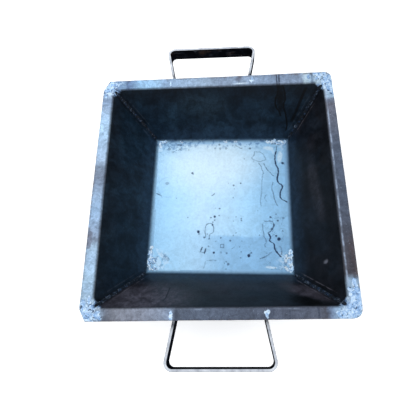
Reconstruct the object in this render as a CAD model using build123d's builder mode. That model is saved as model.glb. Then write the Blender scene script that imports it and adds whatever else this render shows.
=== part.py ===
from build123d import *
import math
import os

# Square mortar pan with flared walls, a turned-out rim and two welded loop
# handles, all in mild steel. Millimetres, +Z up. The origin is the middle of
# the underside of the floor, front is -Y and right is +X.

# ---------------------------------------------------------------- dimensions
SHEET = 2.0            # sheet thickness of floor, walls and rim corners
RIM_Z = 100.0          # top face of the rim flange
FOOT_HALF = 125.0      # half width of the inside at the floor, to the sharp corner
MOUTH_HALF = 182.0     # half width of the inside at the rim, to the sharp corner
FLOOR_HALF = 120.0     # half width of the flat floor plate, to its butt joints
FOOT_R = 6.0           # inside radius of the bend at the foot of a wall
RIM_R = 2.5            # underside radius of the bend under the rim

# Outer outline of the rim, cut by hand and a little out of square.
FRONT_LEFT = (-201.0, -200.0)
FRONT_RIGHT = (201.0, -198.0)
REAR_RIGHT = (196.5, 203.0)
REAR_LEFT = (-199.0, 199.0)

BAR_W = 25.0           # flat bar of the handles, upright
BAR_T = 4.0
LEG_ROOT = 64.0        # half spacing of the leg centrelines at ROOT_Y
LEG_GRIP = 78.0        # half spacing of the leg centrelines at the grip
ROOT_Y = 192.0
GRIP_Y = 262.8         # centreline of the grip
BEND_R = 8.0           # inside radius of the two handle bends
FRONT_SHIFT = 2.0      # sideways offset of the front handle
REAR_SHIFT = -10.0     # sideways offset of the rear handle

SEAM_R = 3.0           # radius of the bead in each wall corner
SEAM_IN = 1.6          # its centre, in from the corner line
CAP_R = 2.0            # radius of the bead outside each wall corner

os.makedirs("parts", exist_ok=True)

# ------------------------------------------------------------ derived values
RISE = RIM_Z - SHEET
RUN = MOUTH_HALF - FOOT_HALF
SLOPE = math.atan2(RISE, RUN)            # wall angle above horizontal
MITRE = SHEET * math.tan(SLOPE / 2)      # sideways shift of an offset bend
RIM_FLAT = MOUTH_HALF + (RIM_R + SHEET) * math.tan(SLOPE / 2)  # flange starts


def outer_u(z):
    """Distance of a wall's outer face from the centre at height z."""
    return FOOT_HALF + (z - SHEET) * RUN / RISE + SHEET / math.sin(SLOPE)


# A wall's section plane: local x runs outward, local y is up.
FRONT = Plane(origin=(0, 0, 0), x_dir=(0, -1, 0), z_dir=(-1, 0, 0))
REAR = Plane(origin=(0, 0, 0), x_dir=(0, 1, 0), z_dir=(1, 0, 0))
LEFT = Plane(origin=(0, 0, 0), x_dir=(-1, 0, 0), z_dir=(0, 1, 0))
RIGHT = Plane(origin=(0, 0, 0), x_dir=(1, 0, 0), z_dir=(0, -1, 0))


def on(corner, toward_x, toward_y, dx, dy):
    """The two ends of a clip across a rim corner."""
    cx, cy = corner
    ax, ay = toward_x
    bx, by = toward_y
    la = math.hypot(ax - cx, ay - cy)
    lb = math.hypot(bx - cx, by - cy)
    return (
        (cx + (ax - cx) * dx / la, cy + (ay - cy) * dx / la),
        (cx + (bx - cx) * dy / lb, cy + (by - cy) * dy / lb),
    )


fl_x, fl_y = on(FRONT_LEFT, FRONT_RIGHT, REAR_LEFT, 10.5, 17.5)
rl_x, rl_y = on(REAR_LEFT, REAR_RIGHT, FRONT_LEFT, 10.0, 19.0)

# The rim outline with its four different corners, as a tool to trim with.
with BuildPart() as outline:
    with BuildSketch(Plane.XY.offset(-5)):
        with BuildLine():
            Polyline(fl_x, FRONT_RIGHT, REAR_RIGHT, rl_x, rl_y, fl_y, close=True)
        make_face()
    extrude(amount=RIM_Z + 20)
    uprights = outline.edges().filter_by(Axis.Z)
    fillet(uprights.sort_by_distance((*FRONT_RIGHT, 0))[0], 18)
    uprights = outline.edges().filter_by(Axis.Z)
    fillet(uprights.sort_by_distance((*REAR_RIGHT, 0))[0], 14)
    uprights = outline.edges().filter_by(Axis.Z)
    fillet(uprights.sort_by_distance((*rl_x, 0))[0], 9)
    uprights = outline.edges().filter_by(Axis.Z)
    fillet(uprights.sort_by_distance((*rl_y, 0))[0], 7)
    uprights = outline.edges().filter_by(Axis.Z)
    fillet(uprights.sort_by_distance((*fl_x, 0))[0], 3)
    uprights = outline.edges().filter_by(Axis.Z)
    fillet(uprights.sort_by_distance((*fl_y, 0))[0], 5)

# ------------------------------------------------------------------- the pan
with BuildPart() as floor_plate:
    with BuildSketch(Plane.XY):
        Rectangle(2 * FLOOR_HALF, 2 * FLOOR_HALF)
    extrude(amount=SHEET)
floor_plate.part.label = "floor_plate"

# Section shared by the four walls: foot bend, slope, rim bend and flange.
with BuildSketch() as wall_section:
    with BuildLine():
        top = FilletPolyline(
            (FLOOR_HALF, SHEET),
            (FOOT_HALF, SHEET),
            (MOUTH_HALF, RIM_Z),
            (MOUTH_HALF + 30, RIM_Z),
            radius=[FOOT_R, RIM_R + SHEET],
        )
        under = FilletPolyline(
            (FLOOR_HALF, 0),
            (FOOT_HALF + MITRE, 0),
            (MOUTH_HALF + MITRE, RIM_Z - SHEET),
            (MOUTH_HALF + 30, RIM_Z - SHEET),
            radius=[FOOT_R + SHEET, RIM_R],
        )
        Line(top @ 0, under @ 0)
        Line(top @ 1, under @ 1)
    make_face()

# Everything of a wall lies between the two upright mitre planes.
WEDGE = [(60, -60), (230, -230), (230, 230), (60, 60)]
NOTCH = 40.0

with BuildPart() as front_wall:
    with BuildSketch(FRONT):
        add(wall_section.sketch)
    extrude(amount=230, both=True)
    with BuildSketch(Plane.XY.offset(-5)):
        Polygon(*[(v, -u) for u, v in WEDGE], align=None)
    extrude(amount=RIM_Z + 20, mode=Mode.INTERSECT)
    with BuildSketch(Plane.XY.offset(RIM_Z - 8)):
        with Locations(
            (RIM_FLAT + NOTCH / 2, -RIM_FLAT - NOTCH / 2),
            (-RIM_FLAT - NOTCH / 2, -RIM_FLAT - NOTCH / 2),
        ):
            Rectangle(NOTCH, NOTCH)
    extrude(amount=20, mode=Mode.SUBTRACT)
    add(outline.part, mode=Mode.INTERSECT)
front_wall.part.label = "front_wall"

with BuildPart() as rear_wall:
    with BuildSketch(REAR):
        add(wall_section.sketch)
    extrude(amount=230, both=True)
    with BuildSketch(Plane.XY.offset(-5)):
        Polygon(*[(v, u) for u, v in WEDGE], align=None)
    extrude(amount=RIM_Z + 20, mode=Mode.INTERSECT)
    with BuildSketch(Plane.XY.offset(RIM_Z - 8)):
        with Locations(
            (RIM_FLAT + NOTCH / 2, RIM_FLAT + NOTCH / 2),
            (-RIM_FLAT - NOTCH / 2, RIM_FLAT + NOTCH / 2),
        ):
            Rectangle(NOTCH, NOTCH)
    extrude(amount=20, mode=Mode.SUBTRACT)
    add(outline.part, mode=Mode.INTERSECT)
rear_wall.part.label = "rear_wall"

with BuildPart() as left_wall:
    with BuildSketch(LEFT):
        add(wall_section.sketch)
    extrude(amount=230, both=True)
    with BuildSketch(Plane.XY.offset(-5)):
        Polygon(*[(-u, v) for u, v in WEDGE], align=None)
    extrude(amount=RIM_Z + 20, mode=Mode.INTERSECT)
    with BuildSketch(Plane.XY.offset(RIM_Z - 8)):
        with Locations(
            (-RIM_FLAT - NOTCH / 2, RIM_FLAT + NOTCH / 2),
            (-RIM_FLAT - NOTCH / 2, -RIM_FLAT - NOTCH / 2),
        ):
            Rectangle(NOTCH, NOTCH)
    extrude(amount=20, mode=Mode.SUBTRACT)
    add(outline.part, mode=Mode.INTERSECT)
left_wall.part.label = "left_wall"

with BuildPart() as right_wall:
    with BuildSketch(RIGHT):
        add(wall_section.sketch)
    extrude(amount=230, both=True)
    with BuildSketch(Plane.XY.offset(-5)):
        Polygon(*[(u, v) for u, v in WEDGE], align=None)
    extrude(amount=RIM_Z + 20, mode=Mode.INTERSECT)
    with BuildSketch(Plane.XY.offset(RIM_Z - 8)):
        with Locations(
            (RIM_FLAT + NOTCH / 2, RIM_FLAT + NOTCH / 2),
            (RIM_FLAT + NOTCH / 2, -RIM_FLAT - NOTCH / 2),
        ):
            Rectangle(NOTCH, NOTCH)
    extrude(amount=20, mode=Mode.SUBTRACT)
    add(outline.part, mode=Mode.INTERSECT)
right_wall.part.label = "right_wall"

walls = {
    "front": front_wall,
    "rear": rear_wall,
    "left": left_wall,
    "right": right_wall,
}
finished = [floor_plate, front_wall, rear_wall, left_wall, right_wall]

# ------------------------------------------- corner plates and their welds
# Each corner: its signs in X and Y, and the two walls that meet there.
CORNERS = {
    "front_left": (-1, -1, "front", "left"),
    "front_right": (1, -1, "front", "right"),
    "rear_left": (-1, 1, "rear", "left"),
    "rear_right": (1, 1, "rear", "right"),
}
RIM_BEAD_W = 6.0       # bead along each joint of a corner plate
RIM_BEAD_H = 0.9

for corner, (sx, sy, end_wall, side_wall) in CORNERS.items():
    # A square plate fills the notch between the two flanges.
    with BuildPart() as rim_corner:
        with BuildSketch(Plane.XY.offset(RIM_Z - SHEET)):
            with Locations((sx * (RIM_FLAT + NOTCH / 2), sy * (RIM_FLAT + NOTCH / 2))):
                Rectangle(NOTCH, NOTCH)
        extrude(amount=SHEET)
        add(outline.part, mode=Mode.INTERSECT)
    rim_corner.part.label = f"rim_corner_{corner}"
    finished.append(rim_corner)

    # Two low beads join it to the flanges and meet at its inner corner.
    along_y = Plane(
        origin=(sx * RIM_FLAT, sy * (RIM_FLAT - 2.0), RIM_Z),
        x_dir=(sy, 0, 0),
        z_dir=(0, sy, 0),
    )
    along_x = Plane(
        origin=(sx * (RIM_FLAT - 2.0), sy * RIM_FLAT, RIM_Z),
        x_dir=(0, -sx, 0),
        z_dir=(sx, 0, 0),
    )
    with BuildPart() as rim_weld:
        for joint in (along_y, along_x):
            up = 1 if joint.y_dir.Z > 0 else -1
            with BuildSketch(joint):
                with BuildLine():
                    ThreePointArc(
                        (-RIM_BEAD_W / 2, 0), (0, up * RIM_BEAD_H), (RIM_BEAD_W / 2, 0)
                    )
                    Line((RIM_BEAD_W / 2, 0), (-RIM_BEAD_W / 2, 0))
                make_face()
            extrude(amount=40)
        add(outline.part, mode=Mode.INTERSECT)
    rim_weld.part.label = f"rim_weld_{corner}"
    finished.append(rim_weld)

    # The seam runs up the mitre. Inside is a bead, outside a slimmer cap.
    foot = Vector(sx * FOOT_HALF, sy * FOOT_HALF, SHEET)
    mouth = Vector(sx * MOUTH_HALF, sy * MOUTH_HALF, RIM_Z)
    rise = (mouth - foot).normalized()
    inward = Vector(-sx, -sy, 0).normalized()
    inward = (inward - rise * inward.dot(rise)).normalized()
    dihedral = math.pi - math.acos(math.cos(SLOPE) ** 2)
    outside = SHEET / math.sin(dihedral / 2)
    with BuildPart() as seam_weld:
        with BuildSketch(Plane(origin=foot + inward * SEAM_IN + rise * 5.0, z_dir=rise)):
            Circle(SEAM_R)
        extrude(amount=(mouth - foot).length - 9.5)
        with BuildSketch(
            Plane(origin=foot - inward * (outside - 0.8) + rise * 4.5, z_dir=rise)
        ):
            Circle(CAP_R)
        extrude(amount=(mouth - foot).length - 9.5)
        add(walls[end_wall].part, mode=Mode.SUBTRACT)
        add(walls[side_wall].part, mode=Mode.SUBTRACT)
    seam_weld.part.label = f"corner_seam_weld_{corner}"
    finished.append(seam_weld)

# ------------------------------------------------------- welds on the floor
# Short low beads where the slit corners of the floor were closed, each along
# one floor edge: the corner, the edge's direction and the bead's length.
FLOOR_BEADS = {
    "front_left": ("left", 44.0),
    "front_right": ("right", 38.0),
    "rear_left": ("rear", 14.0),
    "rear_right": ("rear", 36.0),
}
FLOOR_BEAD_W = 6.5
FLOOR_BEAD_H = 1.2

for corner, (edge, length) in FLOOR_BEADS.items():
    sx, sy, end_wall, side_wall = CORNERS[corner]
    e = FOOT_HALF - 3.2
    if edge in ("left", "right"):
        run = Plane(origin=(sx * e, sy * (e + 1.0), SHEET), x_dir=(-sy, 0, 0), z_dir=(0, -sy, 0))
    else:
        run = Plane(origin=(sx * (e + 1.0), sy * e, SHEET), x_dir=(0, sx, 0), z_dir=(-sx, 0, 0))
    up = 1 if run.y_dir.Z > 0 else -1
    with BuildPart() as floor_weld:
        with BuildSketch(run):
            with BuildLine():
                ThreePointArc(
                    (-FLOOR_BEAD_W / 2, 0), (0, up * FLOOR_BEAD_H), (FLOOR_BEAD_W / 2, 0)
                )
                Line((FLOOR_BEAD_W / 2, 0), (-FLOOR_BEAD_W / 2, 0))
            make_face()
        extrude(amount=length)
        add(walls[end_wall].part, mode=Mode.SUBTRACT)
        add(walls[side_wall].part, mode=Mode.SUBTRACT)
    floor_weld.part.label = f"floor_corner_weld_{corner}"
    finished.append(floor_weld)

# Three tacks along the rear edge of the floor.
with BuildPart() as rear_tacks:
    for x in (-78.0, -4.0, 22.0):
        with BuildSketch(
            Plane(origin=(x - 4.5, FOOT_HALF - 3.0, SHEET), x_dir=(0, -1, 0), z_dir=(1, 0, 0))
        ) as tack:
            with BuildLine():
                ThreePointArc((-2.6, 0), (0, -1.0), (2.6, 0))
                Line((2.6, 0), (-2.6, 0))
            make_face()
        extrude(amount=9.0)
    add(rear_wall.part, mode=Mode.SUBTRACT)
rear_tacks.part.label = "rear_floor_tack_welds"
finished.append(rear_tacks)

# ------------------------------------------------------------------- handles
# Plan of a handle about its own centreline, y outward: the line down the
# middle of the bar, then its inner and outer faces.
lean = (LEG_GRIP - LEG_ROOT) / (GRIP_Y - ROOT_Y)
side = math.hypot(1.0, lean)


def bar_face(d):
    """Corner points of the bar's face at d outside its centreline."""
    y = GRIP_Y + d
    x0 = LEG_ROOT + (150.0 - ROOT_Y) * lean + d * side
    x1 = LEG_ROOT + (y - ROOT_Y) * lean + d * side
    return [(-x0, 150.0), (-x1, y), (x1, y), (x0, 150.0)]


TOP_Z = RIM_Z - SHEET
LOW_Z = TOP_Z - BAR_W

with BuildSketch() as bar_plan:
    with BuildLine():
        inner = FilletPolyline(*bar_face(-BAR_T / 2), radius=BEND_R)
        outer = FilletPolyline(*bar_face(BAR_T / 2), radius=BEND_R + BAR_T)
        Line(inner @ 0, outer @ 0)
        Line(inner @ 1, outer @ 1)
    make_face()

# Section of the space inside the wall's outer face, which the legs stop at.
with BuildSketch() as inside_section:
    with BuildLine():
        Polyline(
            (100, LOW_Z - 5),
            (outer_u(LOW_Z - 5), LOW_Z - 5),
            (outer_u(TOP_Z + 5), TOP_Z + 5),
            (100, TOP_Z + 5),
            close=True,
        )
    make_face()

with BuildPart() as front_handle:
    with BuildSketch(
        Plane(origin=(FRONT_SHIFT, 0, LOW_Z), x_dir=(-1, 0, 0), z_dir=(0, 0, 1))
    ):
        add(bar_plan.sketch)
    extrude(amount=BAR_W)
    with BuildSketch(FRONT):
        add(inside_section.sketch)
    extrude(amount=140, both=True, mode=Mode.SUBTRACT)
    rims = front_handle.edges().filter_by(
        lambda edge: edge.center().Y < -RIM_FLAT - 20
        and abs(edge.bounding_box().size.Z) < 0.01
    )
    fillet(rims, 0.6)
    add(front_wall.part, mode=Mode.SUBTRACT)
front_handle.part.label = "front_handle"
finished.append(front_handle)

with BuildPart() as rear_handle:
    with BuildSketch(
        Plane(origin=(REAR_SHIFT, 0, LOW_Z), x_dir=(1, 0, 0), z_dir=(0, 0, 1))
    ):
        add(bar_plan.sketch)
    extrude(amount=BAR_W)
    with BuildSketch(REAR):
        add(inside_section.sketch)
    extrude(amount=140, both=True, mode=Mode.SUBTRACT)
    rims = rear_handle.edges().filter_by(
        lambda edge: edge.center().Y > RIM_FLAT + 20
        and abs(edge.bounding_box().size.Z) < 0.01
    )
    fillet(rims, 0.6)
    add(rear_wall.part, mode=Mode.SUBTRACT)
rear_handle.part.label = "rear_handle"
finished.append(rear_handle)

# ------------------------------------------------------------- handle welds
# Each leg has a bead up both sides of its scribed end, and a bead on both
# sides of its top edge under the flange. Beside each leg a weld has come
# through to the top of the flange.
LEGS = {
    "front_left": (-1, -1, FRONT_SHIFT, front_wall, front_handle),
    "front_right": (1, -1, FRONT_SHIFT, front_wall, front_handle),
    "rear_left": (-1, 1, REAR_SHIFT, rear_wall, rear_handle),
    "rear_right": (1, 1, REAR_SHIFT, rear_wall, rear_handle),
}
LEG_BEAD_R = 2.6
# Welds on top of the flange: X and distance from the centre, then half length
# across the flange, half width and height.
PLUGS = {
    "front_left": (-67.5, 192.4, 7.5, 3.2, 0.9),
    "front_right": (68.0, 190.8, 6.0, 4.4, 1.2),
    "rear_left": (-81.0, 190.3, 5.5, 2.4, 0.8),
    "rear_right": (60.5, 192.3, 7.5, 5.0, 1.2),
}

for leg, (sx, sy, shift, wall, handle) in LEGS.items():
    def leg_x(u, off):
        """X of the leg's centreline at distance u, moved off sideways."""
        return shift + sx * (LEG_ROOT + (u - ROOT_Y) * lean) + off * side

    with BuildPart() as leg_weld:
        for off in (-BAR_T / 2 - 0.4, BAR_T / 2 + 0.4):
            low, high = LOW_Z + 1.5, TOP_Z - 4.0
            a = Vector(leg_x(outer_u(low), off), sy * (outer_u(low) + 0.3), low)
            b = Vector(leg_x(outer_u(high), off), sy * (outer_u(high) + 0.3), high)
            with BuildSketch(Plane(origin=a, z_dir=b - a)):
                Circle(LEG_BEAD_R)
            extrude(amount=(b - a).length)
            c = Vector(leg_x(RIM_FLAT + 0.5, off), sy * (RIM_FLAT + 0.5), TOP_Z)
            d = Vector(leg_x(RIM_FLAT + 9.5, off), sy * (RIM_FLAT + 9.5), TOP_Z)
            with BuildSketch(Plane(origin=c, z_dir=d - c)):
                Circle(1.8)
            extrude(amount=(d - c).length)
        add(wall.part, mode=Mode.SUBTRACT)
        add(handle.part, mode=Mode.SUBTRACT)
        with BuildSketch(FRONT if sy < 0 else REAR):
            add(inside_section.sketch)
        extrude(amount=140, both=True, mode=Mode.SUBTRACT)
        with BuildSketch(Plane.XY.offset(TOP_Z)):
            Rectangle(600, 600)
        extrude(amount=20, mode=Mode.SUBTRACT)
    leg_weld.part.label = f"handle_weld_{leg}"
    finished.append(leg_weld)

    plug_x, plug_u, half_len, half_wid, high = PLUGS[leg]
    with BuildPart() as plug:
        with BuildSketch(
            Plane(origin=(plug_x, sy * plug_u, RIM_Z), x_dir=(0, 1, 0), z_dir=(0, 0, 1))
        ):
            Ellipse(half_len, half_wid)
        extrude(amount=high, taper=45)
    plug.part.label = f"rim_plug_weld_{leg}"
    finished.append(plug)

for piece in finished:
    export_step(piece.part, f"parts/{piece.part.label}.step")
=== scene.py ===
import bpy
import bmesh
import math
import numpy as np
from mathutils import Matrix, Vector, noise


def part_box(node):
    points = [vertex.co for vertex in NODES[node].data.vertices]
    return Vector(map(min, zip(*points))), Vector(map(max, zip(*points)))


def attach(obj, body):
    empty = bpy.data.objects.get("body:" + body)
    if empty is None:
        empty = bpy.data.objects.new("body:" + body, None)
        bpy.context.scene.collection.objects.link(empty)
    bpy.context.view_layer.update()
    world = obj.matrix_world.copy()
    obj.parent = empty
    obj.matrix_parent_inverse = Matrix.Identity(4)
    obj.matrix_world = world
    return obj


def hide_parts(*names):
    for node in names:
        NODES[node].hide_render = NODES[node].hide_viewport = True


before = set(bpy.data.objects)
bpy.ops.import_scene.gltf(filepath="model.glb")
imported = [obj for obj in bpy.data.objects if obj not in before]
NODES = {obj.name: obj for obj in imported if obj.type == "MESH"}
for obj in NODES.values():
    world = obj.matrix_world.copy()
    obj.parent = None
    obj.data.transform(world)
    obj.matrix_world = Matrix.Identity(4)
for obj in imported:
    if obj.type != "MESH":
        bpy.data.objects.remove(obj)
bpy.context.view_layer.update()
MM = 0.001

# ---------------------------------------------------------------------------
# Sizes of the pan in millimetres, read back from the frame where it has them
# ---------------------------------------------------------------------------
RIM_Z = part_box("front_wall")[1].z / MM               # 100, top of the rim
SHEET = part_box("floor_plate")[1].z / MM              # 2, sheet thickness
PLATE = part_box("floor_plate")[1].x / MM              # 120, half the floor plate
FOOT = 125.0                                         # sharp inside corner at the floor
MOUTH = 182.0                                        # sharp inside corner at the rim
FOOT_R, RIM_R = 6.0, 4.5                             # radii on the inside faces
RISE, RUN = RIM_Z - SHEET, MOUTH - FOOT
SLOPE = math.atan2(RISE, RUN)
FOOT_T = FOOT - FOOT_R * math.tan(SLOPE / 2)         # foot bend starts
RIM_T = MOUTH + RIM_R * math.tan(SLOPE / 2)          # flat flange starts
TWIST = math.radians(-1.5)                           # the floor sits a little askew in the rim


def smooth(a, b, x):
    t = min(1.0, max(0.0, (x - a) / (b - a)))
    return t * t * (3.0 - 2.0 * t)


def settle(x, y, z):
    """Where a point of the ideal pan lies on this handmade one: the floor is askew and the sheet is a little wavy."""
    k = TWIST * min(1.0, max(0.0, 1.0 - z / RIM_Z))
    c, s = math.cos(k), math.sin(k)
    u = max(abs(x), abs(y))
    n = noise.noise_vector(Vector((x / 85.0, y / 85.0, z / 85.0 + 3.0)))
    fine = noise.noise(Vector((x / 28.0, y / 28.0, z / 40.0 + 11.0)))
    wall = smooth(PLATE, 140.0, u)
    dz = 0.40 * n.z * smooth(150.0, 186.0, u) + 0.12 * fine * smooth(184.0, 196.0, u)
    # the floor is dished upward a little between its folds
    flat = (1.0 - smooth(60.0, 118.0, u)) * (1.0 - smooth(2.5, 8.0, z))
    dz += flat * (0.5 + 0.5 * n.z)
    hold = 1.0 - smooth(192.0, 205.0, u) * 0.4
    dx = 0.75 * n.x * wall * hold
    dy = 0.75 * n.y * wall * hold
    return (c * x - s * y + dx, s * x + c * y + dy, z + dz)


LIGHT = (1.25, 1.215, 1.18)        # light falling on a level face, so colours below are as seen


def srgb(r, g, b):
    out = []
    for c, k in zip((r, g, b), LIGHT):
        c = max(c, 0.0) / 255.0
        out.append((c / 12.92 if c <= 0.04045 else ((c + 0.055) / 1.055) ** 2.4) / k)
    return (*out, 1.0)


# ---------------------------------------------------------------------------
# A small helper for shader node trees
# ---------------------------------------------------------------------------
class Shader:
    """Positions are in mm on the ideal pan, so the floor's askew turn is undone first."""

    def __init__(self, name, askew=True):
        self.mat = bpy.data.materials.new(name)
        self.mat.use_nodes = True
        self.t = self.mat.node_tree
        self.t.nodes.clear()
        self.out = self.t.nodes.new("ShaderNodeOutputMaterial")
        self.bsdf = self.t.nodes.new("ShaderNodeBsdfPrincipled")
        self.t.links.new(self.bsdf.outputs[0], self.out.inputs[0])
        tc = self.t.nodes.new("ShaderNodeTexCoord")
        self.p = self.mapped(tc.outputs["Object"], scale=(1000.0, 1000.0, 1000.0))
        self.x, self.y, self.z = self.split(self.p)
        if askew:
            k = self.ramp(self.z, 0.0, RIM_Z, TWIST, 0.0, smooth=False)
            x, y = self.x, self.y
            self.x = self.add(x, self.mul(k, y))
            self.y = self.sub(y, self.mul(k, x))
        geo = self.t.nodes.new("ShaderNodeNewGeometry")
        self.nx, self.ny, self.nz = self.split(geo.outputs["True Normal"])
        self.point = geo.outputs["Pointiness"]
        self.rag = None

    def put(self, socket, value):
        if isinstance(value, bpy.types.NodeSocket):
            self.t.links.new(value, socket)
        elif value is not None:
            socket.default_value = value

    def node(self, kind, **props):
        n = self.t.nodes.new(kind)
        for k, v in props.items():
            setattr(n, k, v)
        return n

    def math(self, op, a, b=None, c=None, clamp=False):
        n = self.node("ShaderNodeMath", operation=op, use_clamp=clamp)
        for i, v in enumerate((a, b, c)):
            self.put(n.inputs[i], v)
        return n.outputs[0]

    def add(self, a, b):
        return self.math("ADD", a, b)

    def sub(self, a, b):
        return self.math("SUBTRACT", a, b)

    def mul(self, a, *more):
        for b in more:
            a = self.math("MULTIPLY", a, b)
        return a

    def abs(self, a):
        return self.math("ABSOLUTE", a)

    def vec(self, op, a, b=None, scale=None):
        n = self.node("ShaderNodeVectorMath", operation=op)
        self.put(n.inputs[0], a)
        if b is not None:
            self.put(n.inputs[1], b)
        if scale is not None:
            n.inputs["Scale"].default_value = scale
        return n.outputs["Value"] if op in ("LENGTH", "DOT_PRODUCT", "DISTANCE") else n.outputs["Vector"]

    def split(self, v):
        n = self.node("ShaderNodeSeparateXYZ")
        self.put(n.inputs[0], v)
        return n.outputs[0], n.outputs[1], n.outputs[2]

    def join(self, x, y, z):
        n = self.node("ShaderNodeCombineXYZ")
        for i, v in enumerate((x, y, z)):
            self.put(n.inputs[i], v)
        return n.outputs[0]

    def ramp(self, x, lo, hi, a=0.0, b=1.0, smooth=True):
        """x from lo to hi becomes a to b, held outside that range."""
        n = self.node("ShaderNodeMapRange", clamp=True)
        n.interpolation_type = "SMOOTHSTEP" if smooth else "LINEAR"
        for i, v in enumerate((x, lo, hi, a, b)):
            self.put(n.inputs[i], v)
        return n.outputs[0]

    def band(self, x, lo, hi, soft):
        """1 between lo and hi, fading over soft at both ends."""
        return self.mul(self.ramp(x, lo - soft, lo + soft), self.ramp(x, hi + soft, hi - soft))

    def noise(self, size, detail=3.0, rough=0.5, vec=None, dist=0.0):
        """size is the width of the largest features, in mm."""
        n = self.node("ShaderNodeTexNoise", noise_dimensions="3D")
        self.put(n.inputs["Vector"], vec if vec is not None else self.p)
        n.inputs["Scale"].default_value = 1.0 / size
        n.inputs["Detail"].default_value = detail
        n.inputs["Roughness"].default_value = rough
        n.inputs["Distortion"].default_value = dist
        return n.outputs[0]

    def mapped(self, vec, loc=(0.0, 0.0, 0.0), turn=0.0, scale=(1.0, 1.0, 1.0)):
        m = self.node("ShaderNodeMapping")
        self.put(m.inputs["Vector"], vec)
        m.inputs["Location"].default_value = loc
        m.inputs["Rotation"].default_value = (0.0, 0.0, math.radians(turn))
        m.inputs["Scale"].default_value = scale
        return m.outputs[0]

    def shift(self, dx, dy, dz=0.0):
        return self.mapped(self.p, loc=(dx, dy, dz))

    def stretch(self, sx, sy, sz, dx=0.0, dy=0.0, dz=0.0):
        return self.mapped(self.p, loc=(dx, dy, dz), scale=(sx, sy, sz))

    def turned(self, degrees, sx, sy, sz, dx=0.0, dy=0.0):
        """Stretched along a direction turned by some degrees about Z."""
        return self.mapped(self.mapped(self.p, turn=degrees), loc=(dx, dy, 0.0), scale=(sx, sy, sz))

    def cells(self, size, vec=None, feature="F1", dims="3D"):
        n = self.node("ShaderNodeTexVoronoi", voronoi_dimensions=dims, feature=feature)
        self.put(n.inputs["Vector"], vec if vec is not None else self.p)
        n.inputs["Scale"].default_value = 1.0 / size
        return n

    def dots(self, cell, r_lo, r_hi, share, vec=None, soft=0.35):
        """Round specks: one may sit in each cell of that size, share of the cells have one."""
        n = self.cells(cell, vec, dims="2D")
        d = self.mul(n.outputs["Distance"], cell)
        rgb = self.node("ShaderNodeSeparateColor")
        self.put(rgb.inputs[0], n.outputs["Color"])
        a, b, c = rgb.outputs
        r = self.ramp(a, 0.0, 1.0, r_lo, r_hi, smooth=False)
        on = self.math("LESS_THAN", b, share)
        k = self.math("DIVIDE", self.sub(r, d), soft, clamp=True)
        return self.mul(k, on, self.ramp(c, 0.0, 1.0, 0.45, 1.0, smooth=False))

    def specks(self, vec, pts, soft=1.1):
        """Single stains at (x, y), each with a radius and a strength."""
        m = None
        for x, y, r, k in pts:
            d = self.vec("DISTANCE", vec, (x, y, 0.0))
            v = self.ramp(d, r + soft * 0.5, max(r - soft * 0.5, 0.0), 0.0, k, smooth=False)
            m = v if m is None else self.math("MAXIMUM", m, v)
        return m

    def line(self, t, v, pts, half, soft=0.8, fade=2.0, k=1.0):
        """A thin line on a surface: at each t of the (v, t) points, v follows a smooth curve through them."""
        ts = [q[1] for q in pts]
        vs = [q[0] for q in pts]
        t0, t1, v0, v1 = min(ts), max(ts), min(vs) - 1.0, max(vs) + 1.0
        n = self.node("ShaderNodeFloatCurve")
        self.put(n.inputs["Value"], self.ramp(t, t0, t1, 0.0, 1.0, smooth=False))
        cur = n.mapping.curves[0]
        order = sorted(((q[1] - t0) / (t1 - t0), (q[0] - v0) / (v1 - v0)) for q in pts)
        for i, (a, b) in enumerate(order):
            if i == 0:
                cur.points[0].location = (a, b)
            elif i == len(order) - 1:
                cur.points[-1].location = (a, b)
            else:
                cur.points.new(a, b)
        n.mapping.update()
        at = self.ramp(n.outputs[0], 0.0, 1.0, v0, v1, smooth=False)
        d = self.abs(self.sub(v, at))
        if self.rag is not None:
            d = self.add(d, self.rag)
        m = self.ramp(d, half + soft * 0.5, max(half - soft * 0.5, 0.0), 0.0, k)
        return self.mul(m, self.ramp(t, t0 - fade * 0.5, t0 + fade * 0.5), self.ramp(t, t1 + fade * 0.5, t1 - fade * 0.5))

    def oval(self, a, b, ca, cb, ra, rb, turn=0.0, soft=0.35, wob=None):
        """A soft ellipse in the coordinates a and b, 0 to 1."""
        c, s = math.cos(math.radians(turn)), math.sin(math.radians(turn))
        da, db = self.sub(a, ca), self.sub(b, cb)
        u = self.math("DIVIDE", self.add(self.mul(da, c), self.mul(db, s)), ra)
        v = self.math("DIVIDE", self.sub(self.mul(db, c), self.mul(da, s)), rb)
        d = self.vec("LENGTH", self.join(u, v, 0.0))
        if wob is not None:
            d = self.add(d, wob)
        return self.ramp(d, 1.0 + soft, 1.0 - soft)

    def color(self, f, a, b, blend="MIX"):
        n = self.node("ShaderNodeMix", data_type="RGBA", blend_type=blend, clamp_factor=True)
        self.put(n.inputs["Factor"], f)
        self.put(n.inputs[6], a)
        self.put(n.inputs[7], b)
        return n.outputs[2]

    def blend(self, f, a, b):
        n = self.node("ShaderNodeMix", data_type="FLOAT", clamp_factor=True)
        self.put(n.inputs["Factor"], f)
        self.put(n.inputs[2], a)
        self.put(n.inputs[3], b)
        return n.outputs[0]

    def shade(self, f, lo, hi):
        """A grey factor from lo to hi as a colour, to multiply with."""
        v = self.ramp(f, 0.0, 1.0, lo, hi, smooth=False)
        n = self.node("ShaderNodeCombineColor")
        for i in range(3):
            self.put(n.inputs[i], v)
        return n.outputs[0]

    def times(self, col, f, lo, hi):
        """Colour multiplied by a factor that runs from lo to hi as f runs from 0 to 1."""
        return self.color(1.0, col, self.shade(f, lo, hi), blend="MULTIPLY")

    def stops(self, f, stops):
        n = self.node("ShaderNodeValToRGB")
        self.put(n.inputs[0], f)
        e = n.color_ramp.elements
        e[0].position, e[0].color = stops[0]
        e[1].position, e[1].color = stops[-1]
        for pos, col in stops[1:-1]:
            q = e.new(pos)
            q.color = col
        return n.outputs[0]

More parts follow.
